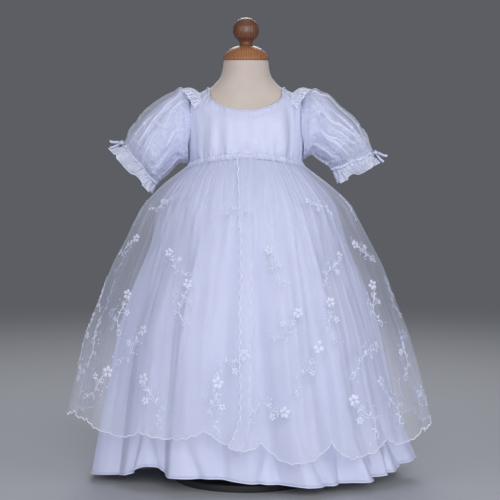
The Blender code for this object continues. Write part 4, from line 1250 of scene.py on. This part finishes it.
# %% Points on a shoulder frill
FRILL_FRONT, FRILL_BACK, FRILL_WIDTH, FRILL_OUT = -0.036, 0.032, 0.028, 0.0725
WAVES, FINE_WAVES, LACE_SCALLOPS = 13, 31, 22


def height_over(x, y):
    """The height of the form's upper side over a point of the floor."""
    low, high = 0.55, FORM_TOP
    for _ in range(30):
        middle = (low + high) / 2
        power = form_power(middle)
        reach = abs(x / form_width(middle)) ** power + abs(y / form_depth(middle)) ** power
        low, high = (middle, high) if reach < 1 else (low, middle)
    return low


def frill_column(u, count):
    """Points from the frill's seam to its free edge, for u from 0 in front to 1 behind."""
    y = FRILL_FRONT + (FRILL_BACK - FRILL_FRONT) * u
    height = height_over(FRILL_OUT - 0.005 * share(0.5, 0.0, u), y)
    angle = angle_at_depth(y, height)
    angle = angle if y < 0 else math.pi - angle
    out = (on_bodice(angle, height, 0.01) - on_bodice(angle, height)).normalized()
    scallop = 1 - 0.10 * abs(math.sin(math.pi * LACE_SCALLOPS * u)) ** 2
    width = FRILL_WIDTH * (0.25 + 0.70 * math.sin(math.pi * u) ** 0.5) * scallop
    jog = wander(5 * u, 3)
    beat = math.tau * (WAVES * u + 0.8 * jog)
    points = []
    for v in evenly(0, 1, count):
        wave = math.cos(beat) * (0.9 + jog)
        fine = math.sin(math.tau * (FINE_WAVES * u + 1.8 * jog + 0.6 * v))
        point = on_bodice(angle, height, 0.0016) + Vector((width * v, 0, 0))
        point += out * (0.0022 * v * wave + 0.0010 * v * fine)
        point.y += 0.0026 * v * math.sin(beat)
        point.z += (0.0050 * math.sin(math.pi * v) + 0.0020 * v) * math.sin(math.pi * u)
        point.z -= 0.0050 * v**1.6 * share(0.35, 0.05, u)
        points.append(point)
    return points


print("Each frill is", round(1000 * (FRILL_BACK - FRILL_FRONT)), "mm from front to back")

# %% The shoulder frills
shoulder_frills = {}
columns = [frill_column(u, 12) for u in evenly(0, 1, 360)]
for side, way in SIDES.items():
    rows = [[Vector((way * p.x, p.y, p.z)) for p in row] for row in zip(*columns)]
    rows = rows if side == "right" else [row[::-1] for row in rows]
    name, node = f"shoulder_lace_{side}", f"shoulder_frill_{side}"
    frill = skin(name, rows, lace, "lace", node, cut=(0.15, 0.026))
    shoulder_frills[side] = frill, cord(f"{name}_edge", rows[-1], "lace", 0.0006, edge_thread)
print("The frills are", list(shoulder_frills))

# %% [markdown]
# ## The satin skirt
#
# The skirt is two wide panels gathered into the waist, so it falls in long folds that open
# towards the hem. A cloth simulation could drop it, but it would not land where the real folds
# are, so the folds are written down: where each starts, where it meets the hem, how wide and
# how deep it is. Smaller folds between them come from a seeded table, and the gathers under the
# waist from a wave whose pitch wanders.

# %% The satin skirt's sections and hem
Ring = namedtuple("Ring", "drop half_width half_depth middle")
SATIN_RINGS = table(
    Ring,
    (0.000, 0.0912, 0.0690, 0), (0.025, 0.1000, 0.0770, 0), (0.060, 0.1170, 0.0930, 0),
    (0.110, 0.1370, 0.1070, 0.0010), (0.165, 0.1470, 0.1160, 0.0025),
    (0.240, 0.1560, 0.1240, 0.0045), (0.350, 0.1780, 0.1360, 0.0040),
    (0.440, 0.1955, 0.1450, 0.0032), (0.550, 0.2125, 0.1540, 0.0032),
    (0.660, 0.2235, 0.1610, 0.0030), (0.770, 0.2355, 0.1660, 0.0035),
    (0.870, 0.2480, 0.1710, 0.0065), (1.000, 0.2665, 0.1770, 0.0130),
)
Hem = namedtuple("Hem", "angle height dip", defaults=(0,))
SATIN_HEM = table(
    Hem,
    (-180, 0.026), (-130, 0.020), (-92, 0.012), (-58, 0.022), (-44, 0.041), (-33, 0.030),
    (-18, 0.030), (0, 0.023), (28, 0.018), (50, 0.021), (72, 0.027), (92, 0.036),
    (130, 0.026), (180, 0.026),
)
# Each fold's angle at the waist and at the hem, its half width in degrees, its depth at the
# hem, the drop where it begins, and the drop by which it has faded out again. The last nine
# are short creases that run aslant into the hem.
Fold = namedtuple("Fold", "waist hem half_width depth start fade", defaults=(9,))
SATIN_FOLDS = table(
    Fold,
    (-69, -67, 6, 0.012, 0.15), (-39, -37, 6, 0.021, 0.05), (1, 9, 4, 0.013, 0.05),
    (27, 35, 5, 0.015, 0.00), (48, 52, 4, 0.010, 0.35), (71, 72, 6, 0.008, 0.10),
    (109, 108, 6, 0.013, 0.10), (132, 131, 6, 0.014, 0.10), (154, 153, 6, 0.013, 0.10),
    (177, 177, 6, 0.014, 0.15), (200, 201, 6, 0.013, 0.10), (224, 225, 6, 0.014, 0.10),
    (249, 247, 6, 0.012, 0.15), (-12, -12, 4, 0.008, 0.10),
    (-16, -54, 2.0, 0.012, 0.78), (-74, -41, 1.6, 0.009, 0.80), (-60, -20, 1.8, 0.009, 0.80),
    (40, 2, 1.5, 0.009, 0.80), (-14, 26, 2.0, 0.011, 0.78), (66, 33, 1.7, 0.010, 0.80),
    (0, 50, 2.2, 0.013, 0.78), (104, 61, 1.8, 0.012, 0.80), (32, 78, 2.4, 0.013, 0.76),
)
# The ridges between the big folds. The cloth hangs nearly flat from one to the next.
SATIN_RIDGES = table(
    namedtuple("Ridge", "waist hem"),
    (-83, -82), (-29, -31), (14, 18), (38, 43), (90, 90), (120, 120),
    (143, 142), (165, 165), (188, 189), (212, 213), (236, 236), (262, 260),
)


def wrapped(degrees):
    return (degrees + 180) % 360 - 180


def dice(seed, number, count):
    """Chance numbers from 0 to 1, always the same for one seed and number."""
    spots = [Vector((seed + 0.5, number + 0.5, n + 0.5)) for n in range(count)]
    return [0.5 + 0.5 * noise.cell(spot) for spot in spots]


def small_folds(count, seed, depth):
    """Shallow folds spread round the skirt, each with its own place, lean, length and depth."""
    folds = []
    for k in range(count):
        jog, late, lean, length, width = dice(seed, k, 5)
        angle, start = 360 * (k + jog) / count, 0.03 + 0.6 * late**2
        hem, fade = angle + 7 * (lean - 0.5), start + 0.35 + 0.9 * length
        folds.append(Fold(angle, hem, 1.6 + 2.2 * width, depth * (0.4 + 0.6 * late), start, fade))
    return folds


satin_folds = SATIN_FOLDS + small_folds(46, 3, 0.0042)
print("The satin skirt has", len(satin_folds), "folds")


# %% How a skirt's folds and gathers lie
def fold_depth(folds, degrees, drop, sharp):
    """How far the folds pull the cloth in. A lower sharp number gives a keener crease."""
    sink = 0
    for fold in folds:
        off = abs(wrapped(degrees - fold.waist - (fold.hem - fold.waist) * drop)) / fold.half_width
        if off < 3.2 and drop > fold.start:
            hold = share(fold.start, min(1.1, fold.fade), drop)
            hold *= share(fold.fade, fold.fade - 0.3, drop)
            sink += 1.15 * fold.depth * hold * math.exp(-(off**sharp))
    return sink


def flatness(ridges, degrees, drop):
    """How far in the cloth hangs where it is flat between two ridges, as a share of its reach."""
    spots = [ridge.waist + (ridge.hem - ridge.waist) * drop for ridge in ridges]
    spots.append(spots[0] + 360)
    turn = spots[0] + (degrees - spots[0]) % 360
    k = min(bisect_right(spots, turn) - 1, len(spots) - 2)
    half = math.radians(spots[k + 1] - spots[k]) / 2
    off = math.radians(turn - (spots[k] + spots[k + 1]) / 2)
    return 1 - math.cos(half) / math.cos(off)


# How many pleats a skirt has, how deep, the drop by which they end, and how far in they are set.
Gathers = namedtuple("Gathers", "count depth end inset")
SATIN_GATHERS = Gathers(84, 0.0012, 0.25, 0.0007)
ORGANZA_GATHERS = Gathers(124, 0.0015, 0.30, 0.0009)


def gathered(kind, degrees, drop):
    """Small pleats under the waist, which run together as they fall."""
    turn = math.radians(degrees)
    fine = (pleats(turn, 3 * drop, kind.count) - 0.45) * share(kind.end, 0.02, drop)
    wide = (pleats(turn, 1.4 * drop + 5, kind.count / 2.6) - 0.45) * share(0.02, 0.14, drop)
    return kind.depth * (fine + 1.7 * wide * share(0.62, 0.2, drop)) - kind.inset


def hang(rings, hem_height, folds, ridges, kind, sharp):
    """A function that gives a skirt's point at an angle in degrees and a drop from the waist."""
    half_width, half_depth, middle = [smooth(rings, column) for column in Ring._fields[1:]]

    def point(degrees, drop, out=0.0):
        turn = math.radians(degrees)
        streak = 0.003 * abs(ripple(turn, 9, 1.5 * drop + 7)) * share(0.1, 0.5, drop)
        sink = fold_depth(folds, degrees, drop, sharp) + streak
        if ridges:
            flat = flatness(ridges, degrees, drop) * share(0.05, 0.4, drop)
            sink += 0.8 * half_width(drop) * flat
        out = out - sink + gathered(kind, degrees, drop)
        power = 2 / (2 + 0.2 * (1 - share(0, 0.15, drop)))
        x = (half_width(drop) + out) * signed_power(math.sin(turn), power) + middle(drop)
        y = -(half_depth(drop) + out) * signed_power(math.cos(turn), power)
        height = WAIST_SIDE + (hem_height(degrees) - WAIST_SIDE) * drop
        return Vector((x, y, height + (waist_height(turn) - WAIST_SIDE) * (1 - drop) ** 4))

    return point


print("A flat of 30 degrees hangs in by", round(100 * (1 - math.cos(math.radians(15)))), "parts in 100")

# %% The satin skirt's two panels and its turned hem
CLOSED_SEAM, TURNED_HEM = 0.00004, 0.0009
hem_curve = smooth(SATIN_HEM, "height")


def satin_hem(degrees):
    return hem_curve(wrapped(degrees))


satin_point = hang(SATIN_RINGS, satin_hem, satin_folds, SATIN_RIDGES, SATIN_GATHERS, 1.6)
for name, start in (("front", -90), ("back", 90)):
    rows = []
    for drop in evenly(0, 1, 92):
        gap = math.degrees(CLOSED_SEAM / (0.07 + 0.1 * drop))
        spots = evenly(start + gap, start + 180 - gap, 200)
        rows.append([satin_point(degrees, drop) for degrees in spots])
    title, node = f"satin_skirt_{name}", f"skirt_{name}"
    panel = wall(skin(title, rows, satin, "satin", node, cut=(0.74, 0.48)))
    edge = cord(f"{title}_turned_edge", rows[-1], "satin", TURNED_HEM, thread)
print("Each panel has", len(panel.data.polygons), "faces")

# %% [markdown]
# ## The organza overskirt
#
# The overskirt is three panels: a back, and two fronts whose edges lap at the centre. Organza
# is crisp, so its folds are narrower and keener than the satin's. Each panel is one layer
# without thickness, because light passes a real sheet this thin only once, and a doubled sheet
# would look twice as white. Its free edges are scalloped.

# %% The overskirt's sections, hem, edges and folds
ORGANZA_RINGS = table(
    Ring,
    (0.000, 0.0946, 0.0724, 0), (0.020, 0.1050, 0.0830, 0), (0.065, 0.1290, 0.1050, 0),
    (0.110, 0.1490, 0.1210, 0.0008), (0.155, 0.1665, 0.1340, 0.0010),
    (0.205, 0.1780, 0.1440, 0.0010), (0.300, 0.1975, 0.1590, 0.0026),
    (0.395, 0.2180, 0.1720, 0.0030), (0.535, 0.2400, 0.1860, 0.0020),
    (0.675, 0.2618, 0.1970, 0.0022), (0.815, 0.2775, 0.2050, 0.0042),
    (0.950, 0.2910, 0.2110, 0.0050), (1.000, 0.2955, 0.2130, 0.0052),
)
ORGANZA_HEM = table(
    Hem,
    (-180, 0.104, 0.018), (-90, 0.110, 0.003), (-75, 0.118, 0.002), (-63, 0.118, 0.003),
    (-54, 0.104, 0.006), (-35, 0.108, 0.012), (-13, 0.115, 0.015), (3, 0.099, 0.026),
    (14, 0.097, 0.034), (25, 0.0955, 0.032), (37, 0.0945, 0.028), (48, 0.0935, 0.020),
    (70, 0.098, 0.014), (90, 0.104, 0.012), (180, 0.104, 0.018),
)
ORGANZA_FOLDS = table(
    Fold,
    (-76, -77, 6, 0.011, 0.15), (-50, -50, 6, 0.012, 0.10), (-24, -26, 6, 0.012, 0.10),
    (12, 14, 5, 0.012, 0.05), (33, 37, 6, 0.012, 0.05), (55, 58, 6, 0.012, 0.10),
    (76, 79, 5, 0.010, 0.20), (104, 101, 5, 0.010, 0.20), (130, 129, 7, 0.013, 0.10),
    (156, 156, 7, 0.013, 0.10), (181, 181, 7, 0.013, 0.10), (206, 207, 7, 0.013, 0.10),
    (231, 232, 7, 0.013, 0.10), (256, 257, 6, 0.011, 0.15),
)
# Each panel's first scallop and their pitch, in degrees, and how far out the panel laps.
Panel = namedtuple("Panel", "first pitch lap columns width area")
PANELS = {
    "front_left": Panel(-13.4, 21.8, -0.0012, 150, 0.45, 0.15),
    "front_right": Panel(3.4, 22.0, 0.0012, 150, 0.47, 0.16),
    "back": Panel(91.4, 21.0, 0, 260, 0.86, 0.30),
}
FRONT_EDGES = table(
    namedtuple("Edge", "drop right left"),
    (0.00, -0.0095, 0.0055), (0.50, -0.0100, 0.0055), (0.86, -0.0115, 0.0020),
    (1.00, -0.0310, -0.0130),
)
ORGANZA_SHARP = 1.35
organza_folds = ORGANZA_FOLDS + small_folds(58, 11, 0.0036)
organza_width, organza_depth = [smooth(ORGANZA_RINGS, c) for c in ("half_width", "half_depth")]
hem_height, hem_dip = smooth(ORGANZA_HEM, "height"), smooth(ORGANZA_HEM, "dip")
front_edge = {side: smooth(FRONT_EDGES, side) for side in SIDES}
print("The overskirt has", len(organza_folds), "folds")


# %% Points on the overskirt
def scalloped(panel):
    """A function that gives a panel's hem height: large scallops edged with small ones."""

    def height(degrees):
        lobe = 1 - abs(2 * ((degrees - panel.first) / panel.pitch % 1) - 1) ** 2.4
        at = wrapped(degrees)
        small = 0.0022 * abs(math.sin(math.pi * degrees / 3.6 + wander(at / 9)))
        return hem_height(at) - hem_dip(at) * lobe - small + 0.0040 * wander(at / 1.4, 4)

    return height


panel_points = {
    name: hang(ORGANZA_RINGS, scalloped(panel), organza_folds, [], ORGANZA_GATHERS, ORGANZA_SHARP)
    for name, panel in PANELS.items()
}


def organza_point(panel, degrees, drop, out=0.0):
    """A point of a panel, or proud of it. The right front laps over the left one."""
    lap = PANELS[panel].lap * (1 - share(6, 16, abs(wrapped(degrees))))
    return panel_points[panel](degrees, drop, out + lap)


def panel_edges(panel, drop):
    """The angles where a panel begins and ends at a drop."""
    gap = math.degrees(CLOSED_SEAM / organza_depth(drop))
    if panel == "back":
        return 90 + gap, 270 - gap
    side = panel.removeprefix("front_")
    small = 0.0018 * abs(math.sin(math.pi * drop * 26)) + 0.0012 * wander(9 * drop, 2)
    out = front_edge[side](drop) + (small if side == "left" else -small)
    middle = math.degrees(math.asin(out / organza_width(drop)))
    return (-90 + gap, middle) if side == "left" else (middle, 90 - gap)


def organza_double(degrees, drop):
    """How far the overskirt lies double: most in the gathers, and a little in each sharp crease."""
    turn, count = math.radians(degrees), ORGANZA_GATHERS.count
    waist = (0.22 + 0.30 * pleats(turn, 3 * drop, count) ** 2) * share(0.34, 0.0, drop)
    streaks = 0.10 * pleats(turn, 1.4 * drop + 5, 48) ** 3 * share(0.04, 0.2, drop)
    creases = min(7 * fold_depth(organza_folds, degrees, drop, ORGANZA_SHARP), 0.12)
    return min(waist + streaks + creases, 1)


print("The right front starts", round(1000 * front_edge["right"](0.5)), "mm from the centre")

# %% The overskirt's three panels
organza_panels = {}
for name, panel in PANELS.items():
    rows, double = [], []
    for drop in evenly(0, 1, 120):
        spots = evenly(*panel_edges(name, drop), panel.columns)
        rows.append([organza_point(name, degrees, drop) for degrees in spots])
        double.append([organza_double(degrees, drop) for degrees in spots])
    cut = (0.86 if name == "back" else 0.46, 0.43)
    title, node = f"organza_overskirt_{name}", f"overskirt_{name}"
    organza_panels[name] = skin(title, rows, organza, "organza", node, cut=cut, double=double)
print("The panels have", [len(p.data.polygons) for p in organza_panels.values()], "faces")

# %% [markdown]
# ## The corded edge
#
# The overskirt's scallops and front edges are finished in one go: a machine lays a cord along
# the edge and covers it with close stitches straight across it. Geometry Nodes repeat one small
# stitch along the edge line. Real stitches are 0.4 mm apart, and these are 1.3 mm apart.


# %% The overcast stitches along the edges
OVERCAST = {"Pitch": 0.0013, "Length": 0.0015, "Width": 0.0021, "Height": 0.0013, "Slant": 0.0}


def away_from(panel, degrees, drop):
    """The way out of the cloth, from points a little to each side."""
    across = organza_point(panel, degrees + 0.15, drop) - organza_point(panel, degrees - 0.15, drop)
    down = organza_point(panel, degrees, drop + 0.004) - organza_point(panel, degrees, drop - 0.004)
    return down.cross(across).normalized()


def overcast(name, panel, spots):
    """A row of stitches straight across an edge, through spots of a panel in angle and drop."""
    line = [organza_point(panel, degrees, drop, 0.0002) for degrees, drop in spots]
    aways = [away_from(panel, degrees, min(drop, 0.996)) for degrees, drop in spots]
    return stitched(f"organza_{panel}_corded_{name}", [line], [aways], edge_thread, **OVERCAST)


borders = {}
for panel in PANELS:
    spots = [(degrees, 1.0) for degrees in evenly(*panel_edges(panel, 1), PANELS[panel].columns)]
    borders[panel] = [overcast("hem", panel, spots)]
    if panel != "back":
        side = 0 if panel == "front_right" else 1
        spots = [(panel_edges(panel, drop)[side], drop) for drop in evenly(1, 0.005, 240)]
        borders[panel].append(overcast("front_edge", panel, spots))
print("The edges have", sum(len(b.data.polygons) for bs in borders.values() for b in bs), "faces")

# %% [markdown]
# ## The embroidery
#
# Sprays of small flowers, leaves and buds on thin stems are embroidered all over the overskirt.
# One spray is designed flat, in millimetres, and laid on the cloth many times at its own size,
# lean and hand. The stems are a line of stem stitches, and the petals, leaves and buds are
# small raised pads of satin stitch, set on points.

# %% One spray, flat
Mark = namedtuple("Mark", "kind x y heading length width")
# Each leaf's place along the stem, its side and its length, and each bud's place.
LEAVES = ((0.08, 1, 7), (0.16, -1, 7.5), (0.52, 1, 8.5), (0.74, 1, 7), (0.80, -1, 7))
BUDS = ((-9.5, -41), (4, -43), (14, 9), (17.5, 4), (11, 21), (-11, 23))


def flower(x, y, size, turn):
    """Five petals that stand a little apart round an open middle."""
    marks = []
    for heading in evenly(turn, turn + 288, 4):
        way = math.radians(heading)
        foot_x, foot_y = x + 0.16 * size * math.cos(way), y + 0.16 * size * math.sin(way)
        marks.append(Mark("petal", foot_x, foot_y, heading, size, 0.74 * size))
    return marks


def stem(t):
    """A point of the main stem, in millimetres, for t from 0 to 1."""
    return 9 * math.sin(4.4 * t), -38 + 66 * t


def spray():
    """The stems, as lines of points, and the marks of one spray."""
    lines = [[stem(t) for t in evenly(0, 1, 24)]]
    for foot, way in ((0.30, 1), (0.62, -1)):
        x, y = stem(foot)
        curl = []
        for t in evenly(0, 1, 20):
            turn, reach = 6.6 * t, 5.2 * (1 - 0.72 * t)
            out = 6.5 - reach * math.cos(turn)
            curl.append((x + way * out, y + 5 * t + reach * math.sin(turn)))
        lines.append(curl)
    # Closed loops at the foot of the stem and on the way to the flower.
    for foot in (0.0, 0.80):
        x, y = stem(foot)
        turns = evenly(0, math.tau, 14)
        lines.append([(x + 3.4 - 3.4 * math.cos(t), y - 5.4 * math.sin(t)) for t in turns])
    x, y = stem(0.45)
    side_stem = [(x - 17 * t, y + 6 * t + 5 * math.sin(3 * t)) for t in evenly(0, 1, 10)]
    lines.append(side_stem)
    top = stem(1)
    marks = flower(top[0] + 1, top[1] + 5, 8.4, 20)
    marks += flower(side_stem[-1][0] - 2, side_stem[-1][1] + 1, 5.2, 50)
    for t, way, length in LEAVES:
        (x, y), (x2, y2) = stem(t), stem(t + 0.02)
        heading = math.degrees(math.atan2(y2 - y, x2 - x)) - way * 52
        marks.append(Mark("leaf", x, y, heading, length, 0.36 * length))
    return lines, marks + [Mark("knot", x, y, 0, 3.0, 2.6) for x, y in BUDS]


spray_lines, spray_marks = spray()
print("A spray has", len(spray_lines), "stems and", len(spray_marks), "marks")

# %% Where the sprays lie
Place = namedtuple("Place", "panel angle drop size tilt hand")
SPRAY_ROWS = table(
    namedtuple("Row", "drop count first size"),
    (0.17, 8, -68, 0.62), (0.34, 10, -78, 0.75), (0.52, 12, -60, 0.85), (0.69, 13, -74, 0.95),
    (0.86, 15, -66, 1.0),
)
HALF_SPRAY = 0.042
places = []
for number, row in enumerate(SPRAY_ROWS):
    for k in range(row.count):
        jog, lower, lean, mirror = dice(40 + number, k, 4)
        angle = wrapped(row.first + 360 * (k + 0.5 * jog) / row.count)
        drop = row.drop + 0.06 * (lower - 0.5)
        panel = "back" if abs(angle) > 90 else "front_left" if angle < 0 else "front_right"
        tilt, hand = 150 * (lean - 0.5), 1 if mirror > 0.5 else -1
        room = 0.55 * math.degrees(HALF_SPRAY * row.size / organza_depth(drop))
        start, end = panel_edges(panel, drop)
        at = angle % 360 if panel == "back" else angle
        at = min(max(at, start + room), end - room)
        places.append(Place(panel, at, drop, row.size, tilt, hand))
print("The overskirt has", len(places), "sprays")


# %% Laying a spray on the cloth
def lay(place, x, y, out=0.0004):
    """The cloth's point under a flat point of a spray in mm, with its three directions."""
    turn = math.radians(place.tilt)
    x, y = place.hand * x * place.size / 1000, y * place.size / 1000
    x, y = x * math.cos(turn) - y * math.sin(turn), x * math.sin(turn) + y * math.cos(turn)

    def near(degrees, drop):
        return organza_point(place.panel, degrees, drop, out)

    angle, drop = place.angle, place.drop
    across_size = (near(angle + 2, drop) - near(angle - 2, drop)).length / 4
    down_size = (near(angle, drop + 0.02) - near(angle, drop - 0.02)).length / 0.04
    degrees, drop = angle + x / across_size, drop - y / down_size
    start, end = panel_edges(place.panel, min(max(drop, 0), 1))
    degrees, drop = min(max(degrees, start + 0.7), end - 0.7), min(max(drop, 0.03), 0.985)
    across = near(degrees + 0.2, drop) - near(degrees - 0.2, drop)
    up = near(degrees, drop - 0.004) - near(degrees, drop + 0.004)
    away, side = across.cross(up).normalized(), across.normalized()
    return near(degrees, drop), side, away.cross(side), away


def pad_shape(name, fullest, columns=6, rows=4):
    """A pad of stitches, one unit long from the origin along X, fullest where it is told."""
    mesh = bpy.data.meshes.new(name)
    points, faces = [], []
    for u in evenly(0, 1, columns):
        half = 0.5 * math.sin(math.pi * u ** (math.log(0.5) / math.log(fullest))) ** 0.6 + 0.02
        for v in evenly(-1, 1, rows):
            points.append((u, half * v, 0.5 * (1 - v * v) * math.sin(math.pi * u) ** 0.5))
    for i in range(columns):
        for k in range(rows):
            a, b = i * (rows + 1) + k, (i + 1) * (rows + 1) + k
            faces.append((a, b, b + 1, a + 1))
    mesh.from_pydata(points, [], faces)
    mesh.shade_smooth()
    return bpy.data.objects.new(name, mesh)


shapes = {
    "petal": pad_shape("stitched_petal", 0.62),
    "leaf": pad_shape("stitched_leaf", 0.42),
    "knot": pad_shape("stitched_knot", 0.5, 4, 4),
}
print("A petal has", len(shapes["petal"].data.polygons), "faces")


# %% The embroidery on each panel
STEM_STITCH = {"Pitch": 0.0019, "Length": 0.0029, "Width": 0.0012, "Height": 0.0009, "Slant": 0.2}
PAD_HEIGHT = 0.0016


def pad_spot(place, mark):
    """A mark's point on the cloth, its turn and its size."""
    point, side, up, away = lay(place, mark.x, mark.y)
    turn = math.radians(mark.heading if place.hand > 0 else 180 - mark.heading)
    turn += math.radians(place.tilt)
    reach = side * math.cos(turn) + up * math.sin(turn)
    lie = Matrix((reach, away.cross(reach), away)).transposed().to_euler()
    size = place.size / 1000
    if mark.kind == "knot":
        point = point - reach * mark.length * size / 2
    return point, lie, (mark.length * size, mark.width * size, PAD_HEIGHT)


def pads(kind, spots):
    """A raised pad of one kind on every spot."""
    mesh = bpy.data.meshes.new("marks")
    mesh.from_pydata([spot[0] for spot in spots], [], [])
    for label, column in (("turn", 1), ("size", 2)):
        flat = [value for spot in spots for value in spot[column]]
        mesh.attributes.new(label, "FLOAT_VECTOR", "POINT").data.foreach_set("vector", flat)
    name = f"{kind}_marks"
    return grown(name, mesh, "organza", shape_tree, Shape=shapes[kind], Thread=thread)


embroidery = {}
for panel in PANELS:
    here = [place for place in places if place.panel == panel]
    laid = [[lay(place, x, y, 0.0005) for x, y in line] for place in here for line in spray_lines]
    lines, aways = [[[spot[k] for spot in line] for line in laid] for k in (0, 3)]
    parts = [stitched(f"organza_{panel}_stems", lines, aways, thread, **STEM_STITCH)]
    for kind in shapes:
        marks = [mark for mark in spray_marks if mark.kind == kind]
        parts.append(pads(kind, [pad_spot(place, mark) for place in here for mark in marks]))
    embroidery[panel] = join(f"organza_{panel}_embroidery", parts)
print("The embroidery has", [len(e.data.polygons) for e in embroidery.values()], "faces")

# %% [markdown]
# ## The cloth's real sizes
#
# A sheet of cloth hangs in folds but keeps its area. Here each cloth piece is only gathered with
# its edges and trims, and each overskirt panel with the flat width and length it was cut to.

# %% Gathering each sheet's pieces
for side in SIDES:
    lining, puff = sleeve_layers["sleeve_satin_" + side], sleeve_layers["sleeve_organza_" + side]
    band, (frill, hem) = cuff_bands[side], cuff_frills[side]
    frill, edge = shoulder_frills[side]
for name, panel in PANELS.items():
    sewn = [*borders[name], embroidery[name]]
    cloth, flat = organza_panels[name], (panel.width, 0.43)
